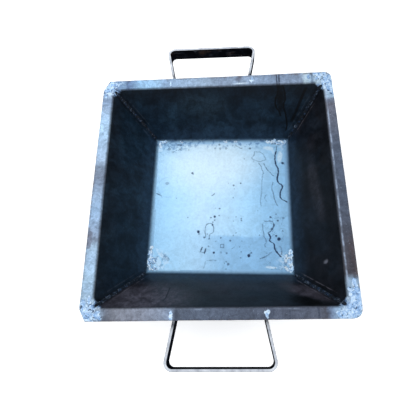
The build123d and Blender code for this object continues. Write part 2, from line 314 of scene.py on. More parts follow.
    def bump(self, height, mm, strength=1.0):
        """height 0 to 1 stands mm tall."""
        n = self.node("ShaderNodeBump")
        n.inputs["Strength"].default_value = strength
        n.inputs["Distance"].default_value = mm * MM
        self.put(n.inputs["Height"], height)
        return n.outputs[0]

    def finish(self, color, rough, metal, normal=None, spec=None):
        self.put(self.bsdf.inputs["Base Color"], color)
        self.put(self.bsdf.inputs["Roughness"], rough)
        self.put(self.bsdf.inputs["Metallic"], metal)
        if normal is not None:
            self.put(self.bsdf.inputs["Normal"], normal)
        if spec is not None:
            self.bsdf.inputs["Specular IOR Level"].default_value = spec
        return self.mat


# ---------------------------------------------------------------------------
# Stains, drips and scratches on the floor, in mm from its middle
# ---------------------------------------------------------------------------
# (points as (x, y)), "y" if the line runs along y, half width, strength
FLOOR_LINES = [
    ([(104.5, 113), (103.8, 107), (102.5, 101.5)], "y", 0.6, 0.55),
    ([(102.5, 102), (101, 95), (100, 84.5), (101, 78), (103.5, 71), (106, 62), (104.6, 54), (103.4, 46),
      (104.6, 40.5), (109, 35.5), (112, 31.5), (109.6, 25), (108, 19), (107.8, 12), (109.3, 8.5), (112.5, 6.3),
      (118.5, 3.0)], "y", 1.05, 1.0),
    ([(109.5, 37), (111.5, 34.5), (113.2, 32), (112, 29)], "y", 0.6, 0.7),
    ([(115, 5.2), (118.5, 3.2), (122.5, 0.5)], "x", 0.9, 0.85),
    ([(63, 103), (62.5, 98), (60, 92), (57.5, 88.5), (59.3, 84.5)], "y", 0.6, 0.42),
    ([(64.3, 100.7), (70.5, 100.4), (74.3, 99.5)], "x", 0.5, 0.32),
    ([(74.3, 99.5), (78, 95.8), (80.5, 91), (83.5, 85)], "y", 0.6, 0.42),
    ([(59.3, 84.5), (68, 82), (71.8, 80.8), (76.8, 82.5), (83.5, 84.5)], "x", 0.55, 0.36),
    ([(69.3, 78.3), (72, 74), (74.3, 70.8), (75.5, 64.5), (77.5, 59.5), (76.6, 54), (76.3, 49.5)], "y", 0.65, 0.48),
    ([(76.3, 51), (75, 39.5), (74.3, 24.5), (73.5, 14.5), (72, 5), (73.5, -5.5)], "y", 0.7, 0.36),
    ([(79.3, 77), (81.8, 70.8), (86.8, 63.3), (93, 55.8), (96.8, 52)], "y", 0.75, 0.62),
    ([(95, 39.5), (93, 27), (95.5, 19.5), (96.8, 9.5), (99.3, 2), (102.5, -5.5)], "y", 0.7, 0.50),
    ([(84.3, 16), (81, 13.5), (79.8, 8), (83, 3.3)], "y", 0.6, 0.48),
    ([(25.5, 115.8), (29, 112.5), (33, 109.6), (39.3, 109)], "x", 0.7, 0.50),
    ([(-24.5, -40), (-26.8, -47), (-27, -53), (-25.8, -60.5), (-28.3, -64)], "y", 0.75, 0.50),
    ([(-14, -38.3), (-12.4, -43), (-12, -53), (-18.3, -58), (-19.5, -66)], "y", 0.75, 0.50),
    ([(-25, -40), (-20, -38), (-14, -38.6)], "x", 0.7, 0.46),
    ([(-30.8, -80), (-32, -84), (-34.5, -89.5)], "y", 0.9, 0.74),
    ([(-25, -82.5), (-25.5, -86), (-27, -91.5)], "y", 0.9, 0.72),
    ([(-33.5, -87.5), (-31, -89.5), (-26.8, -90)], "x", 0.6, 0.46),
    ([(-22, -103.6), (-15, -102.8), (-6, -103.1)], "x", 0.5, 0.40),
    ([(-24, -104), (-25.3, -110), (-27.5, -116.5)], "y", 0.5, 0.30),
    ([(-17.5, 13), (-14, 15.6), (-11, 18)], "x", 0.9, 0.60),
    ([(-122.5, 19.4), (-117, 17.3), (-113.3, 15.8), (-108, 10.5)], "x", 0.7, 0.66),
    ([(78, -33.2), (84, -33.6), (88, -33), (94.5, -37.8)], "x", 0.7, 0.50),
    ([(94.3, -37), (94.2, -43), (89.3, -50.5), (83.5, -54.5)], "y", 1.0, 0.72),
    ([(84.5, -55), (88, -62), (86.6, -68), (93.5, -73), (95.5, -83), (100.5, -90.5), (105.5, -96)], "y", 1.1, 0.85),
    ([(69, -99.6), (78, -96), (84.3, -91.8), (90, -87.5)], "x", 0.8, 0.60),
    ([(74.3, -38), (75.5, -52), (78, -63), (80.5, -70.5), (78, -75.5), (82, -80)], "y", 0.7, 0.40),
    ([(103, -77), (107, -85), (105.5, -92)], "y", 0.9, 0.52),
    ([(7, -100), (10.5, -104), (8.5, -108), (14.5, -111)], "x", 0.7, 0.40),
    ([(20, -83), (25.5, -79), (28, -74)], "x", 0.6, 0.40),
]
# (x, y, radius, strength)
FLOOR_SPECKS = [
    (-54.0, 58.0, 1.9, 0.72), (-52.6, 56.4, 1.3, 0.6), (53.8, 107.8, 1.9, 0.62), (43.0, 86.3, 1.2, 0.4),
    (23.0, 33.8, 1.5, 0.62), (36.0, 37.5, 1.3, 0.74), (24.3, 27.0, 0.9, 0.45), (13.5, 37.5, 0.9, 0.35),
    (22.5, 10.3, 1.1, 0.45), (-81.0, 9.0, 1.3, 0.42), (-1.5, -10.5, 1.3, 0.70), (-9.0, -10.0, 1.0, 0.3),
    (-10.3, -25.3, 1.8, 0.82), (-9.8, -32.0, 1.2, 0.6), (-17.0, -27.3, 1.3, 0.62), (-2.5, -23.5, 1.0, 0.55),
    (-58.8, -27.5, 1.2, 0.45), (-38.6, -53.2, 2.2, 0.88), (-37.2, -57.0, 1.5, 0.45), (28.0, -25.5, 1.0, 0.52),
    (37.0, -29.3, 1.1, 0.55), (37.6, -32.2, 1.1, 0.60), (23.0, -33.8, 0.9, 0.42), (14.3, -28.0, 0.8, 0.35),
    (-13.8, -40.5, 1.7, 0.72), (-13.2, -35.8, 1.2, 0.5), (1.3, -63.5, 1.4, 0.62), (-22.8, -57.3, 1.0, 0.6),
    (-28.3, -63.2, 1.5, 0.6), (-19.5, -65.5, 1.4, 0.55), (18.0, -68.8, 1.3, 0.58), (38.2, -69.0, 1.0, 0.35),
    (-10.2, -89.5, 1.7, 0.90), (34.3, -79.5, 1.0, 0.45), (37.2, -88.0, 1.1, 0.42), (50.0, -94.3, 2.3, 0.88),
    (54.3, -89.5, 1.2, 0.62), (52.0, -91.5, 1.1, 0.55), (36.3, -98.0, 1.2, 0.5), (11.8, -90.5, 1.6, 0.50),
    (15.0, -109.3, 2.0, 0.55), (11.0, -117.5, 1.2, 0.4), (2.0, -89.0, 1.6, 0.30), (103.0, -65.0, 2.6, 0.95),
    (98.2, -59.3, 1.6, 0.80), (88.8, -26.0, 1.8, 0.70), (101.8, -32.3, 1.5, 0.68), (111.8, -27.3, 1.7, 0.42),
    (99.3, -20.5, 1.3, 0.42), (109.8, -50.5, 1.3, 0.55), (90.5, -47.5, 1.9, 0.62), (69.0, -58.8, 1.2, 0.4),
    (-7.5, -70.5, 1.0, 0.30), (-20.0, -79.0, 1.3, 0.45), (28.0, -55.0, 1.1, 0.42), (23.5, -59.5, 1.1, 0.45),
    (114.3, 77.5, 2.2, 0.78), (118.5, 77.0, 2.6, 0.38), (-68.0, 17.5, 0.9, 0.2), (-101.0, 37.4, 2.8, 0.34),
    (-98.0, 38.0, 1.3, 0.35), (78.5, 57.0, 1.0, 0.3), (66.5, -14.5, 0.9, 0.3), (61.0, 80.5, 1.0, 0.35),
    (-83.5, 117.0, 2.4, 0.6), (-78.5, 115.8, 2.0, 0.55), (-91.0, 121.0, 1.9, 0.5), (-100.0, 107.5, 2.4, 0.42),
    (-93.5, 101.0, 1.9, 0.32), (-80.0, 107.0, 1.8, 0.42), (-12.5, 108.5, 1.7, 0.35), (-3.0, 107.5, 2.2, 0.32),
    (8.5, 108.0, 2.2, 0.34), (-4.5, 116.0, 1.8, 0.5), (-63.0, 105.5, 1.5, 0.28),
]
# sRGB of the flange along each side, from -200 to 200, lighter on the left and rear: partly the steel's own tone and
# heat tint, partly painted sky reflection
RIM_TONES = {
    "rear": [(-200, 96, 120, 158), (-176, 116, 150, 196), (-162, 128, 160, 200), (-157, 92, 118, 160), (-150, 112, 142, 186),
             (-136, 148, 190, 234), (-105, 158, 198, 240), (-92, 140, 170, 210), (-60, 152, 180, 216), (-20, 156, 180, 212),
             (5, 138, 158, 190), (30, 150, 172, 205), (75, 150, 174, 210), (99, 134, 156, 190), (112, 136, 156, 190),
             (145, 140, 160, 192), (152, 196, 222, 246), (160, 168, 196, 226), (163, 100, 124, 160), (170, 186, 214, 242), (200, 150, 176, 206)],
    "front": [(-200, 140, 170, 208), (-170, 150, 172, 204), (-163, 104, 112, 132), (-150, 128, 134, 152), (-110, 138, 146, 168),
              (-80, 146, 160, 188), (-72, 138, 156, 188), (-60, 84, 94, 114), (-45, 92, 104, 128), (-15, 92, 104, 128), (40, 82, 92, 114),
              (75, 98, 108, 132), (95, 84, 92, 114), (135, 92, 100, 122), (150, 78, 82, 98), (156, 112, 130, 164), (170, 150, 182, 220), (200, 150, 180, 214)],
    "left": [(-200, 150, 184, 222), (-172, 176, 206, 238), (-158, 158, 188, 222), (-140, 172, 204, 238), (-112, 160, 190, 226),
             (-95, 158, 186, 218), (-82, 128, 144, 172), (-60, 144, 170, 206), (-35, 150, 182, 222), (-5, 140, 164, 198),
             (20, 112, 126, 152), (36, 124, 142, 170), (45, 158, 182, 216), (80, 160, 190, 226), (115, 168, 202, 240), (140, 150, 176, 212),
             (168, 122, 146, 184), (200, 120, 148, 188)],
    "right": [(-200, 160, 190, 224), (-145, 150, 178, 210), (-138, 76, 76, 88), (-100, 78, 80, 94), (-60, 80, 88, 108), (0, 86, 98, 122),
              (60, 88, 100, 124), (100, 100, 108, 130), (140, 108, 112, 132), (150, 112, 126, 154), (154, 166, 196, 230), (180, 170, 200, 232),
              (200, 150, 176, 208)],
}


def pan_sheet(zone):
    """The folded and welded sheet: bare floor, bright from a painted sky reflection, dark scaled walls, bare rim with
    some painted sky reflection, mill scale outside.
    """
    s = Shader("pan_" + zone)
    ax, ay = s.abs(s.x), s.abs(s.y)
    u = s.math("MAXIMUM", ax, ay)
    n6 = s.noise(6.0, 4.0, 0.62)
    n16 = s.noise(16.0, 4.0, 0.6, dist=0.7)
    n40 = s.noise(40.0, 3.0, 0.5, s.shift(15.0, 60.0))
    grit = s.noise(1.8, 3.0, 0.6)
    edge_wob = s.mul(s.sub(n6, 0.5), 1.6)
    if zone == "floor":
        col = paint_floor(s, ax, ay, u, n6, n16, n40)
        col = s.color(s.ramp(s.add(u, edge_wob), 118.8, 128.0), col, srgb(34, 54, 74))
        metal, spec = 0.45, 0.28
    elif zone == "wall":
        # the floor's colour at the foot of the wall, with its painted sky reflection and the blots of the rear band
        floor_tone_painted_reflection = s.stops(s.ramp(s.x, -124.0, 124.0, 0.0, 1.0, smooth=False), [
            (0.0, srgb(168, 216, 250)), (0.35, srgb(190, 228, 254)), (0.75, srgb(168, 214, 248)), (1.0, srgb(142, 188, 226)),
        ])
        floor_tone_painted_reflection = s.color(s.ramp(s.y, 20.0, -110.0, 0.0, 0.75), floor_tone_painted_reflection, srgb(148, 196, 234))
        floor_tone_painted_reflection = s.color(s.ramp(s.y, 110.0, 118.0, 0.0, 0.6), floor_tone_painted_reflection, srgb(150, 194, 232))
        floor_tone_painted_reflection = s.color(s.mul(s.ramp(s.noise(7.0, 4.0, 0.62, s.shift(33.0, 20.0)), 0.50, 0.60), s.ramp(s.y, 110.0, 118.0, 0.15, 0.7)), floor_tone_painted_reflection, srgb(92, 134, 182))
        col = paint_wall(s, ax, ay, u, n6, n16, n40)
        col = s.color(s.ramp(s.add(u, edge_wob), 118.8, 128.0), floor_tone_painted_reflection, col)
        metal, spec = 0.0, 0.13
    elif zone == "rim":
        col = paint_rim(s, ax, ay, u, n6, n16, n40)
        dark = s.stops(n16, [(0.34, srgb(16, 20, 27)), (0.68, srgb(24, 29, 37))])
        flange = s.math("MAXIMUM", s.ramp(s.add(u, edge_wob), 179.6, 185.4), rounded(s, ax, ay, n6))
        col = s.color(flange, dark, col)
        edge = s.mul(s.ramp(s.abs(s.nz), 0.75, 0.35), s.ramp(u, 189.0, 191.0))
        shear = s.stops(n6, [(0.34, srgb(52, 42, 38)), (0.50, srgb(104, 88, 78)), (0.64, srgb(150, 142, 138))])
        col = s.color(edge, col, shear)
        metal, spec = s.mul(flange, 0.4), 0.28
    else:
        col = paint_outside(s, ax, ay, u, n6, n16, n40)
        metal, spec = 0.15, 0.28
    rough = s.add(s.ramp(n16, 0.34, 0.68, 0.36, 0.50), s.ramp(grit, 0.34, 0.68, -0.04, 0.05))
    h = s.add(s.mul(n40, 1.0), s.add(s.mul(n6, 0.10), s.mul(grit, 0.03)))
    return s.finish(col, rough, metal, s.bump(h, 1.2, 0.55), spec)


def rounded(s, ax, ay, n6):
    """1 where the weld metal of the rim rounds off the corners of the mouth."""
    cx, cy = s.math("MAXIMUM", s.sub(ax, 162.0), 0.0), s.math("MAXIMUM", s.sub(ay, 162.0), 0.0)
    turned = s.add(s.vec("LENGTH", s.join(cx, cy, 0.0)), s.mul(s.sub(n6, 0.5), 5.0))
    return s.mul(s.ramp(turned, 18.6, 21.8), s.ramp(s.math("MINIMUM", ax, ay), 166.0, 171.0))


def facing(s, ax, ay):
    """1 on the left and right sides, the place along the side, and 1 on each of the right, rear and front."""
    sideways = s.math("GREATER_THAN", ax, ay)
    along = s.blend(sideways, s.x, s.y)
    on_right = s.mul(sideways, s.math("GREATER_THAN", s.x, 0.0))
    on_rear = s.mul(s.sub(1.0, sideways), s.math("GREATER_THAN", s.y, 0.0))
    on_front = s.mul(s.sub(1.0, sideways), s.math("LESS_THAN", s.y, 0.0))
    return sideways, along, on_right, on_rear, on_front


def paint_floor(s, ax, ay, u, n6, n16, n40):
    # painted sky reflection: the floor's bright sky blue and its gradient across x stand for the sky mirrored in the
    # bare steel
    col = s.stops(s.ramp(s.x, -124.0, 124.0, 0.0, 1.0, smooth=False), [
        (0.00, srgb(160, 210, 246)), (0.10, srgb(172, 220, 252)), (0.24, srgb(186, 227, 253)), (0.36, srgb(198, 232, 255)),
        (0.55, srgb(190, 228, 254)), (0.70, srgb(176, 222, 254)), (0.82, srgb(164, 214, 250)), (1.00, srgb(154, 203, 240)),
    ])
    # painted reflection: a brighter oval of mirrored sky
    painted_sky_glare = s.oval(s.x, s.y, -18.0, 78.0, 78.0, 50.0, 0.0, 0.75)
    col = s.color(s.mul(painted_sky_glare, 0.95), col, srgb(217, 241, 255))
    # painted reflection falling off: the floor darker towards the front, in a wavy patch at the front left, and at the
    # right
    col = s.color(s.mul(s.ramp(s.y, -20.0, -70.0), 0.35), col, srgb(164, 213, 248))
    wav = s.mul(s.sub(n40, 0.5), 10.0)
    front_reflection_falloff = s.mul(s.ramp(s.add(s.y, wav), -57.5, -63.0), s.ramp(s.add(s.x, wav), -66.0, 26.0, 0.0, 1.0))
    col = s.color(s.mul(front_reflection_falloff, 0.80), col, srgb(144, 194, 234))
    right_reflection_falloff = s.mul(s.ramp(s.x, 50.0, 104.0), s.ramp(s.y, 92.0, 30.0))
    col = s.color(s.mul(right_reflection_falloff, 0.12), col, srgb(132, 180, 222))
    # cloudy water marks
    col = s.times(col, s.ramp(n16, 0.34, 0.68), 0.90, 1.05)
    col = s.times(col, s.ramp(s.noise(4.0, 4.0, 0.6, s.shift(4.0, 80.0)), 0.32, 0.70), 1.04, 0.93)
    # band along the rear fold, greyer and stained
    wob = s.mul(s.sub(n6, 0.5), 2.2)
    band = s.ramp(s.add(s.y, s.add(wob, s.mul(s.sub(n16, 0.5), 5.0))), 112.5, 118.5)
    col = s.color(s.mul(band, 0.50), col, srgb(150, 194, 232))
    blot = s.noise(7.0, 4.0, 0.62, s.shift(33.0, 20.0))
    col = s.color(s.mul(s.ramp(s.add(s.y, wob), 103.0, 116.0), s.ramp(blot, 0.50, 0.60), s.ramp(s.abs(s.add(s.x, 30.0)), 30.0, 60.0, 0.55, 0.8)), col, srgb(92, 134, 182))
    smear = s.oval(s.x, s.y, -90.0, 110.0, 25.0, 10.0, 4.0, 0.5, s.mul(s.sub(blot, 0.5), 2.0))
    col = s.color(s.mul(smear, s.ramp(n6, 0.46, 0.58), 0.72), col, srgb(96, 138, 182))
    # rust by the rear right fold
    rust = s.oval(s.x, s.y, 104.0, 120.5, 12.0, 5.0, 0.0, 0.3, s.mul(s.sub(n6, 0.5), 2.4))
    col = s.color(s.mul(rust, s.ramp(blot, 0.36, 0.52, 0.35, 0.92)), col, srgb(98, 106, 124))
    col = s.color(s.mul(rust, s.ramp(n6, 0.52, 0.62, 0.0, 0.7)), col, srgb(148, 134, 132))
    # smudges by the front left corner
    smudge = s.oval(s.x, s.y, -96.0, -97.5, 10.5, 3.6, -34.0, 0.35, s.mul(s.sub(n6, 0.5), 2.6))
    col = s.color(s.mul(smudge, 0.72), col, srgb(74, 110, 146))
    smudge = s.oval(s.x, s.y, -109.0, -106.0, 17.0, 17.0, 0.0, 0.5, s.mul(s.sub(n6, 0.5), 3.0))
    col = s.color(s.mul(smudge, s.ramp(blot, 0.42, 0.52), 0.80), col, srgb(200, 231, 254))
    col = s.color(s.mul(smudge, s.ramp(n6, 0.52, 0.58), 0.75), col, srgb(72, 112, 154))
    smudge = s.oval(s.x, s.y, 112.0, -108.0, 11.0, 17.0, 0.0, 0.5, s.mul(s.sub(n6, 0.5), 3.0))
    col = s.color(s.mul(smudge, s.ramp(blot, 0.44, 0.54), 0.75), col, srgb(194, 227, 253))
    col = s.color(s.mul(smudge, s.ramp(n6, 0.53, 0.60), 0.65), col, srgb(84, 122, 162))
    smudge = s.oval(s.x, s.y, -120.0, 112.0, 7.0, 13.0, 0.0, 0.4, s.mul(s.sub(n6, 0.5), 2.0))
    col = s.color(s.mul(smudge, s.ramp(blot, 0.42, 0.54), 0.7), col, srgb(202, 232, 254))
    smudge = s.oval(s.x, s.y, 118.0, 113.0, 9.0, 5.5, 20.0, 0.4, s.mul(s.sub(n6, 0.5), 1.6))
    col = s.color(s.mul(smudge, 0.7), col, srgb(196, 228, 252))
    # dried pale spills
    for cx, cy, ra, rb, turn, k in (
        (88.0, 108.2, 9.0, 4.0, -6.0, 0.95), (109.6, 91.0, 4.0, 10.5, -10.0, 0.95), (96.5, 101.5, 3.0, 5.5, 20.0, 0.45),
        (90.0, -114.2, 9.8, 1.7, -1.0, 0.95), (84.0, -112.8, 5.0, 1.6, 0.0, 0.6),
    ):
        wobble = s.mul(s.sub(n6, 0.5), 2.0)
        col = s.color(s.mul(s.oval(s.x, s.y, cx, cy, ra, rb, turn, 0.38, wobble), s.ramp(n6, 0.36, 0.56, 0.55, 1.0), k), col, srgb(214, 239, 255))
    # lines and specks
    ink = srgb(34, 58, 92)
    s.rag = s.mul(s.sub(s.noise(3.2, 3.0, 0.6, s.shift(44.0, 9.0)), 0.5), 2.6)
    gaps = s.ramp(s.noise(9.0, 3.0, 0.6, s.shift(61.0, 7.0)), 0.34, 0.50, 0.45, 1.0)
    wx = s.add(s.x, s.mul(s.sub(s.noise(5.0, 2.0, 0.5, s.shift(17.0, 3.0)), 0.5), 2.6))
    wy = s.add(s.y, s.mul(s.sub(s.noise(5.0, 2.0, 0.5, s.shift(3.0, 57.0)), 0.5), 2.6))
    for pts, run, half, k in FLOOR_LINES:
        if run == "y":
            m = s.line(wy, wx, pts, half * 1.3, 1.5, 2.0, min(1.0, k * 1.25))
        else:
            m = s.line(wx, wy, [(b, a) for a, b in pts], half * 1.3, 1.5, 2.0, min(1.0, k * 1.25))
        if k < 0.8:
            m = s.mul(m, gaps)
        col = s.color(m, col, ink)
    s.rag = None
    flatp = s.join(wx, wy, 0.0)
    for i in range(0, len(FLOOR_SPECKS), 24):
        col = s.color(s.specks(flatp, [(x, y, r * 1.12, min(1.0, k * 1.2)) for x, y, r, k in FLOOR_SPECKS[i:i + 24]]), col, ink)
    ring = s.math("MAXIMUM", s.abs(s.sub(wx, 3.8)), s.abs(s.add(wy, 78.0)))
    col = s.color(s.mul(s.band(ring, 2.2, 3.6, 0.5), 0.62), col, ink)
    ghost = s.vec("DISTANCE", flatp, (-98.0, 30.0, 0.0))
    col = s.color(s.mul(s.band(ghost, 18.5, 20.0, 1.0), s.ramp(n16, 0.44, 0.56), 0.22), col, ink)
    # fine spatter, denser to the front
    dense = s.mul(s.ramp(s.y, 60.0, -80.0, 0.35, 1.0), s.ramp(s.abs(s.sub(s.x, 20.0)), 130.0, 20.0, 0.3, 1.0))
    for cell, lo, hi, share, k in ((9.0, 0.35, 0.85, 0.24, 0.55), (4.5, 0.22, 0.45, 0.26, 0.35)):
        d = s.dots(cell, lo, hi, share, s.shift(cell * 3.1, cell * 1.7), 0.4)
        col = s.color(s.mul(d, dense, k), col, srgb(58, 88, 124))
    # a net of thin dried stains over the front right, and patches of fine dirt
    vein = s.abs(s.sub(s.noise(17.0, 4.0, 0.62, s.shift(140.0, 31.0), dist=0.8), 0.5))
    there = s.mul(s.ramp(s.x, 58.0, 84.0), s.ramp(s.y, -12.0, -34.0), s.ramp(s.noise(12.0, 2.0, 0.5, s.shift(9.0, 9.0)), 0.42, 0.54))
    col = s.color(s.mul(s.ramp(vein, 0.013, 0.003), there, 0.60), col, srgb(64, 96, 134))
    fleck = s.noise(2.6, 3.0, 0.66, s.shift(27.0, 77.0))
    there = s.add(s.mul(s.ramp(s.y, -40.0, -100.0), 0.6), s.mul(s.ramp(s.x, 50.0, 100.0), 0.5))
    col = s.color(s.mul(s.ramp(fleck, 0.62, 0.70), s.ramp(blot, 0.46, 0.58), there, 0.8), col, srgb(84, 120, 158))
    col = s.color(s.mul(s.ramp(fleck, 0.38, 0.31), s.ramp(blot, 0.50, 0.62), 0.30), col, srgb(222, 242, 255))
    # hairline scratches
    for turn, off, k in ((28.0, 0.0, 0.26), (-62.0, 40.0, 0.22), (80.0, 90.0, 0.20)):
        scr = s.noise(1.5, 2.0, 0.5, s.turned(turn, 1.0, 0.03, 1.0, off, off))
        lim = s.noise(26.0, 2.0, 0.5, s.shift(off * 2.0, 9.0))
        col = s.color(s.mul(s.ramp(scr, 0.68, 0.75), s.ramp(lim, 0.50, 0.62), k), col, srgb(104, 146, 190))
    return col


def paint_wall(s, ax, ay, u, n6, n16, n40):
    sideways, along, on_right, on_rear, on_front = facing(s, ax, ay)
    warm = s.math("MAXIMUM", on_right, on_front)
    mitre = s.abs(s.sub(ax, ay))
    cool = s.stops(n40, [(0.30, srgb(14, 29, 42)), (0.50, srgb(20, 38, 53)), (0.70, srgb(28, 49, 65))])
    brown = s.stops(n40, [(0.30, srgb(12, 13, 18)), (0.50, srgb(19, 21, 27)), (0.70, srgb(30, 31, 38))])
    mix = s.ramp(s.noise(55.0, 3.0, 0.5, s.shift(0.0, 30.0, 9.0)), 0.40, 0.60, -0.30, 0.18)
    dark = s.color(s.add(s.ramp(warm, 0.0, 1.0, 0.0, 1.1, smooth=False), mix), cool, brown)
    # painted reflection of the bright floor: the walls bluer towards their foot
    dark = s.color(s.mul(s.ramp(u, 148.0, 128.0), 0.55), dark, srgb(38, 60, 82))
    dark = s.color(s.mul(s.ramp(u, 160.0, 178.0), 0.60), dark, srgb(12, 17, 24))
    # front wall: brown haze at its upper left, painted shade of a hollow at its upper right, and a crease painted as a
    # shadow line
    haze = s.mul(on_front, s.oval(along, u, -110.0, 168.0, 62.0, 20.0, 0.0, 0.6))
    dark = s.color(s.mul(haze, s.ramp(n6, 0.38, 0.62, 0.60, 0.95)), dark, srgb(70, 69, 79))
    haze = s.mul(on_front, s.oval(along, u, 134.0, 158.0, 32.0, 9.0, 18.0, 0.6))
    dark = s.color(s.mul(haze, 0.80), dark, srgb(64, 61, 70))
    haze = s.mul(on_front, s.oval(along, u, 20.0, 148.0, 60.0, 7.0, 4.0, 0.7))
    dark = s.color(s.mul(haze, 0.35), dark, srgb(48, 52, 62))
    # painted shade in a hollow, near black
    hole = s.mul(on_front, s.oval(along, u, 124.0, 172.5, 25.0, 7.0, 12.0, 0.30, s.mul(s.sub(n6, 0.5), 0.8)))
    dark = s.color(s.mul(hole, 0.95), dark, srgb(3, 4, 6))
    hole = s.mul(on_front, s.oval(along, u, 84.0, 165.0, 11.0, 7.0, 0.0, 0.5, s.mul(s.sub(n6, 0.5), 1.2)))
    dark = s.color(s.mul(hole, 0.45), dark, srgb(12, 13, 18))
    # painted shadow along a crease
    crease = s.mul(on_front, s.line(u, along, [(-86.0, 173.0), (-80.0, 169.0), (-78.0, 160.0), (-77.0, 151.0)], 1.0, 1.6, 3.0, 0.85))
    dark = s.color(crease, dark, srgb(14, 16, 22))
    # right wall: soot high up, one bright chip
    soot = s.mul(on_right, s.math("MAXIMUM", s.oval(along, u, -45.0, 173.0, 26.0, 5.0, 0.0, 0.5), s.oval(along, u, 52.0, 173.0, 15.0, 5.0, 0.0, 0.5)))
    dark = s.color(s.mul(soot, 0.65), dark, srgb(13, 14, 18))
    haze = s.mul(on_right, s.oval(along, u, 8.0, 159.0, 46.0, 6.0, -4.0, 0.6))
    dark = s.color(s.mul(haze, 0.40), dark, srgb(60, 60, 68))
    chip = s.mul(on_right, s.oval(along, u, -114.5, 164.0, 2.6, 1.7, 20.0, 0.8, s.mul(s.sub(n6, 0.5), 1.6)))
    dark = s.color(s.mul(chip, 0.62), dark, srgb(128, 130, 142))
    # rear wall: drips from the rim, and a faint cloud
    cloud = s.mul(on_rear, s.oval(along, u, -30.0, 163.0, 40.0, 12.0, 0.0, 0.7))
    dark = s.color(s.mul(cloud, 0.45), dark, srgb(38, 56, 68))
    wa = s.add(along, s.mul(s.sub(n6, 0.5), 2.4))
    for pts, half, k in (
        ([(104.0, 182.0), (105.0, 174.5), (100.5, 167.0), (102.0, 160.0), (108.0, 155.5), (110.5, 151.0)], 1.4, 1.0),
        ([(111.0, 181.0), (116.3, 174.5), (117.5, 167.0), (115.2, 162.0), (118.6, 154.5), (121.3, 147.0), (122.5, 141.0), (118.0, 135.0)], 1.3, 1.0),
        ([(153.0, 178.0), (145.5, 167.0), (137.5, 154.5), (130.0, 144.5)], 2.6, 0.8),
    ):
        m = s.mul(on_rear, s.line(u, wa, pts, half, 1.2, 3.0, k))
        dark = s.color(m, dark, srgb(2, 5, 9))
    wet = s.mul(on_rear, s.oval(along, u, 109.0, 169.0, 6.5, 14.0, 8.0, 0.4, s.mul(s.sub(n6, 0.5), 1.6)))
    dark = s.color(s.mul(wet, 0.80), dark, srgb(7, 12, 18))
    # heat from the seams: a scorched strip, a pale toe line beside it
    scorch = s.mul(s.ramp(mitre, 11.0, 3.0), s.ramp(u, 140.0, 170.0, 0.35, 0.8))
    dark = s.color(scorch, dark, srgb(14, 19, 26))
    toe = s.mul(s.band(s.add(mitre, s.mul(s.sub(n16, 0.5), 4.0)), 9.6, 10.8, 0.9), s.band(u, 136.0, 170.0, 4.0), s.ramp(n16, 0.42, 0.54, 0.3, 1.0))
    dark = s.color(s.mul(toe, s.ramp(warm, 0.0, 1.0, 0.22, 0.85)), dark, srgb(92, 90, 98))
    # where the rim corners were filled the bright metal rounds the corner of the mouth
    dark = s.color(rounded(s, ax, ay, n6), dark, s.stops(n6, [(0.36, srgb(50, 70, 100)), (0.50, srgb(124, 156, 196)), (0.62, srgb(196, 222, 248))]))
    # mill scale texture
    dark = s.times(dark, s.ramp(n16, 0.34, 0.68), 0.72, 1.30)
    dark = s.times(dark, s.ramp(s.noise(3.0, 4.0, 0.62), 0.34, 0.70), 0.86, 1.16)
    streak = s.noise(7.0, 3.0, 0.5, s.stretch(1.0, 1.0, 0.06))
    dark = s.times(dark, s.ramp(streak, 0.40, 0.66), 1.05, 0.84)
    return dark


